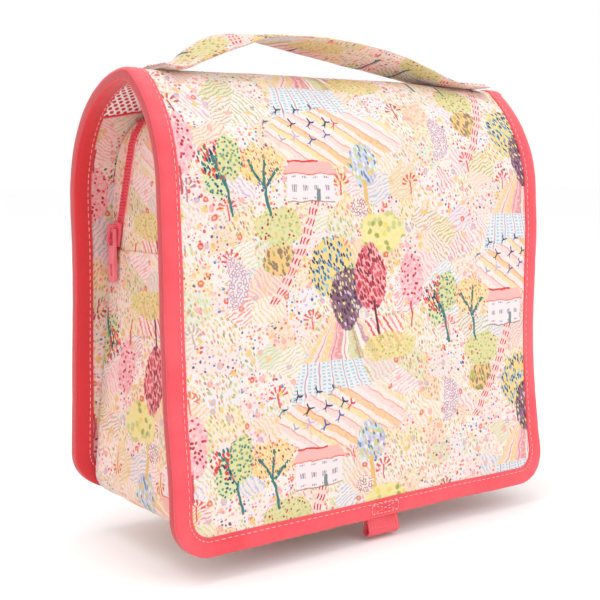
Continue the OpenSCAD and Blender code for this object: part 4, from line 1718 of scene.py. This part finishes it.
def dress_wrap(looks):
    """The padded back and flap with their bound edges, and the nets inside them."""
    faces = [looks["print"], looks["lining"], looks["backing"]]
    back = fold_back(wrap_half("back_wrap", 0.0, S_MID, net_from(0)))
    finish_piece(back, faces, "printed_cotton", stands_for=[
        "back_outer_fabric", "back_wadding", "back_lining", "top_outer_fabric", "top_wadding", "top_backing"])
    flap = fold_front(wrap_half("flap_wrap", S_END, S_MID, -1.0))
    finish_piece(flap, faces, "printed_cotton", stands_for=[
        "flap_outer_fabric", "flap_wadding", "flap_backing"])
    # name, where its foot lies along the wrap, the function it goes through (which bakes its transform), what
    # it replaces
    for name, foot, fold, nodes in (
        ("back", 0.0, fold_back, ["back_binding", "top_bindings"]),
        ("flap", S_END, fold_front, ["flap_binding"]),
    ):
        edge = fold(bound_edge(name + "_bound_edge", foot, S_MID))
        finish_piece(edge, [looks["binding"]], "coral_binding", stands_for=nodes)
        sewn = fold(edge_stitches(name + "_edge_stitches", foot, S_MID))
        finish_piece(sewn, [looks["thread"]], "coral_binding")

    top_net = fold_back(mesh_sheet("top_net", net_from, S_MID))
    finish_piece(top_net, [looks["net"]], "white_mesh", stands_for=["top_mesh"],
                 sheet=((0.2228, 0.0362), "stretched", ["back_wrap"]))
    finish_piece(fold_back(net_cord("top_net_cord")), [looks["backing"]], "coral_binding")
    flap_net = fold_front(mesh_sheet("flap_net", lambda x: S_MID, MESH_FOOT_S))
    finish_piece(flap_net, [looks["net"]], "white_mesh", stands_for=["flap_mesh"],
                 sheet=((0.2228, 0.1554), "stretched", ["flap_wrap"]))
    tape = mesh_tape("flap_net_tape")
    finish_piece(tape, [looks["binding"]], "coral_binding", "front_flap", ["flap_mesh_tape"])


def dress_patches(looks):
    """The hook and loop squares on the flap and on the box, left and right, with their stitches."""
    for side, label in ((-1, "left"), (1, "right")):
        for on_flap, place, body, node in (
            (True, "flap", "front_flap", "flap_closure_patches"),
            (False, "box", "bag_body", "box_closure_patches"),
        ):
            square = patch(f"{place}_patch_{label}", side, on_flap)
            finish_piece(square, [looks["hook"]], "hook_and_loop", body, [node])
            sewn = patch_stitches(f"{place}_patch_stitches_{label}", side, on_flap)
            finish_piece(sewn, [looks["thread"]], "hook_and_loop", body)


def dress_box(looks):
    """The box compartment's fabric, its lining and its zip, which all ride on the bag's body."""
    front_layers = ["front_panel_fabric", "front_panel_wadding"]
    # function, piece, material, slot, what it replaces
    for shape, name, look, slot, nodes in (
        (lower_gusset, "lower_gusset_fabric", "lining", "printed_cotton", ["lower_gusset"]),
        (front_gusset, "front_gusset_fabric", "lining", "printed_cotton", ["front_zip_gusset"]),
        (rear_gusset, "rear_gusset_fabric", "lining", "printed_cotton", ["rear_zip_gusset"]),
        (box_front, "box_front_panel", "lining", "printed_cotton", front_layers),
        (base_lining, "box_base_lining", "backing", "printed_lining", ["compartment_lining"]),
        (top_lining, "box_top_lining", "backing", "printed_lining", ["compartment_lining"]),
        (zip_tape, "zip_woven_tape", "tape", "zip_tape", ["zip_tape"]),
        (zip_teeth, "zip_teeth", "coil", "zip_coil", ["zip_coil"]),
        (zip_stitches, "zip_seam_stitches", "thread", "zip_tape", ()),
    ):
        finish_piece(shape(name), [looks[look]], slot, "bag_body", nodes)


def dress_handle(looks):
    """The handle's two halves and their end stitches."""
    left = handle_half("handle_left", 0, HANDLE_MIDDLE)
    right = handle_half("handle_right", HANDLE_MIDDLE, len(HANDLE_LINE) - 1)
    for half, sign, label in ((left, -1, "left"), (right, 1, "right")):
        start = put(sign * 90, HANDLE_Y, 225)
        end = put(sign * 58, HANDLE_Y, 225)
        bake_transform(half)
        finish_piece(half, [looks["lining"]], "printed_cotton",
                     stands_for=["handle_outer_fabric", "handle_webbing", "handle_lining", "handle_ends"])
        sewn = handle_stitches("handle_stitches_" + label, sign)
        finish_piece(sewn, [looks["thread"]], "printed_cotton", "top_panel")


def dress_nodes(looks):
    """Materials and rounded edges for the CAD nodes that are shown as they are."""
    # node, material, bevel in millimetres
    for node, look, width in (
        ("zip_slider", "enamel", 0.3),
        ("zip_puller", "puller", 0.45),
        ("zip_end_stops", "coil", 0.25),
        ("base_board", "board", 0.5),
    ):
        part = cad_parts[node]
        part.data.materials.clear()
        part.data.materials.append(looks[look])
        soften(part, width)


def build():
    looks = make_materials()
    dress_wrap(looks)
    dress_patches(looks)
    dress_box(looks)
    dress_handle(looks)
    finish_piece(hang_loop("hang_loop_webbing"), [looks["webbing"]], "coral_webbing", "loop", ["hang_loop"])
    finish_piece(loop_stitches("hang_loop_stitches"), [looks["thread"]], "coral_binding", "front_flap")
    dress_nodes(looks)


build()
studio()
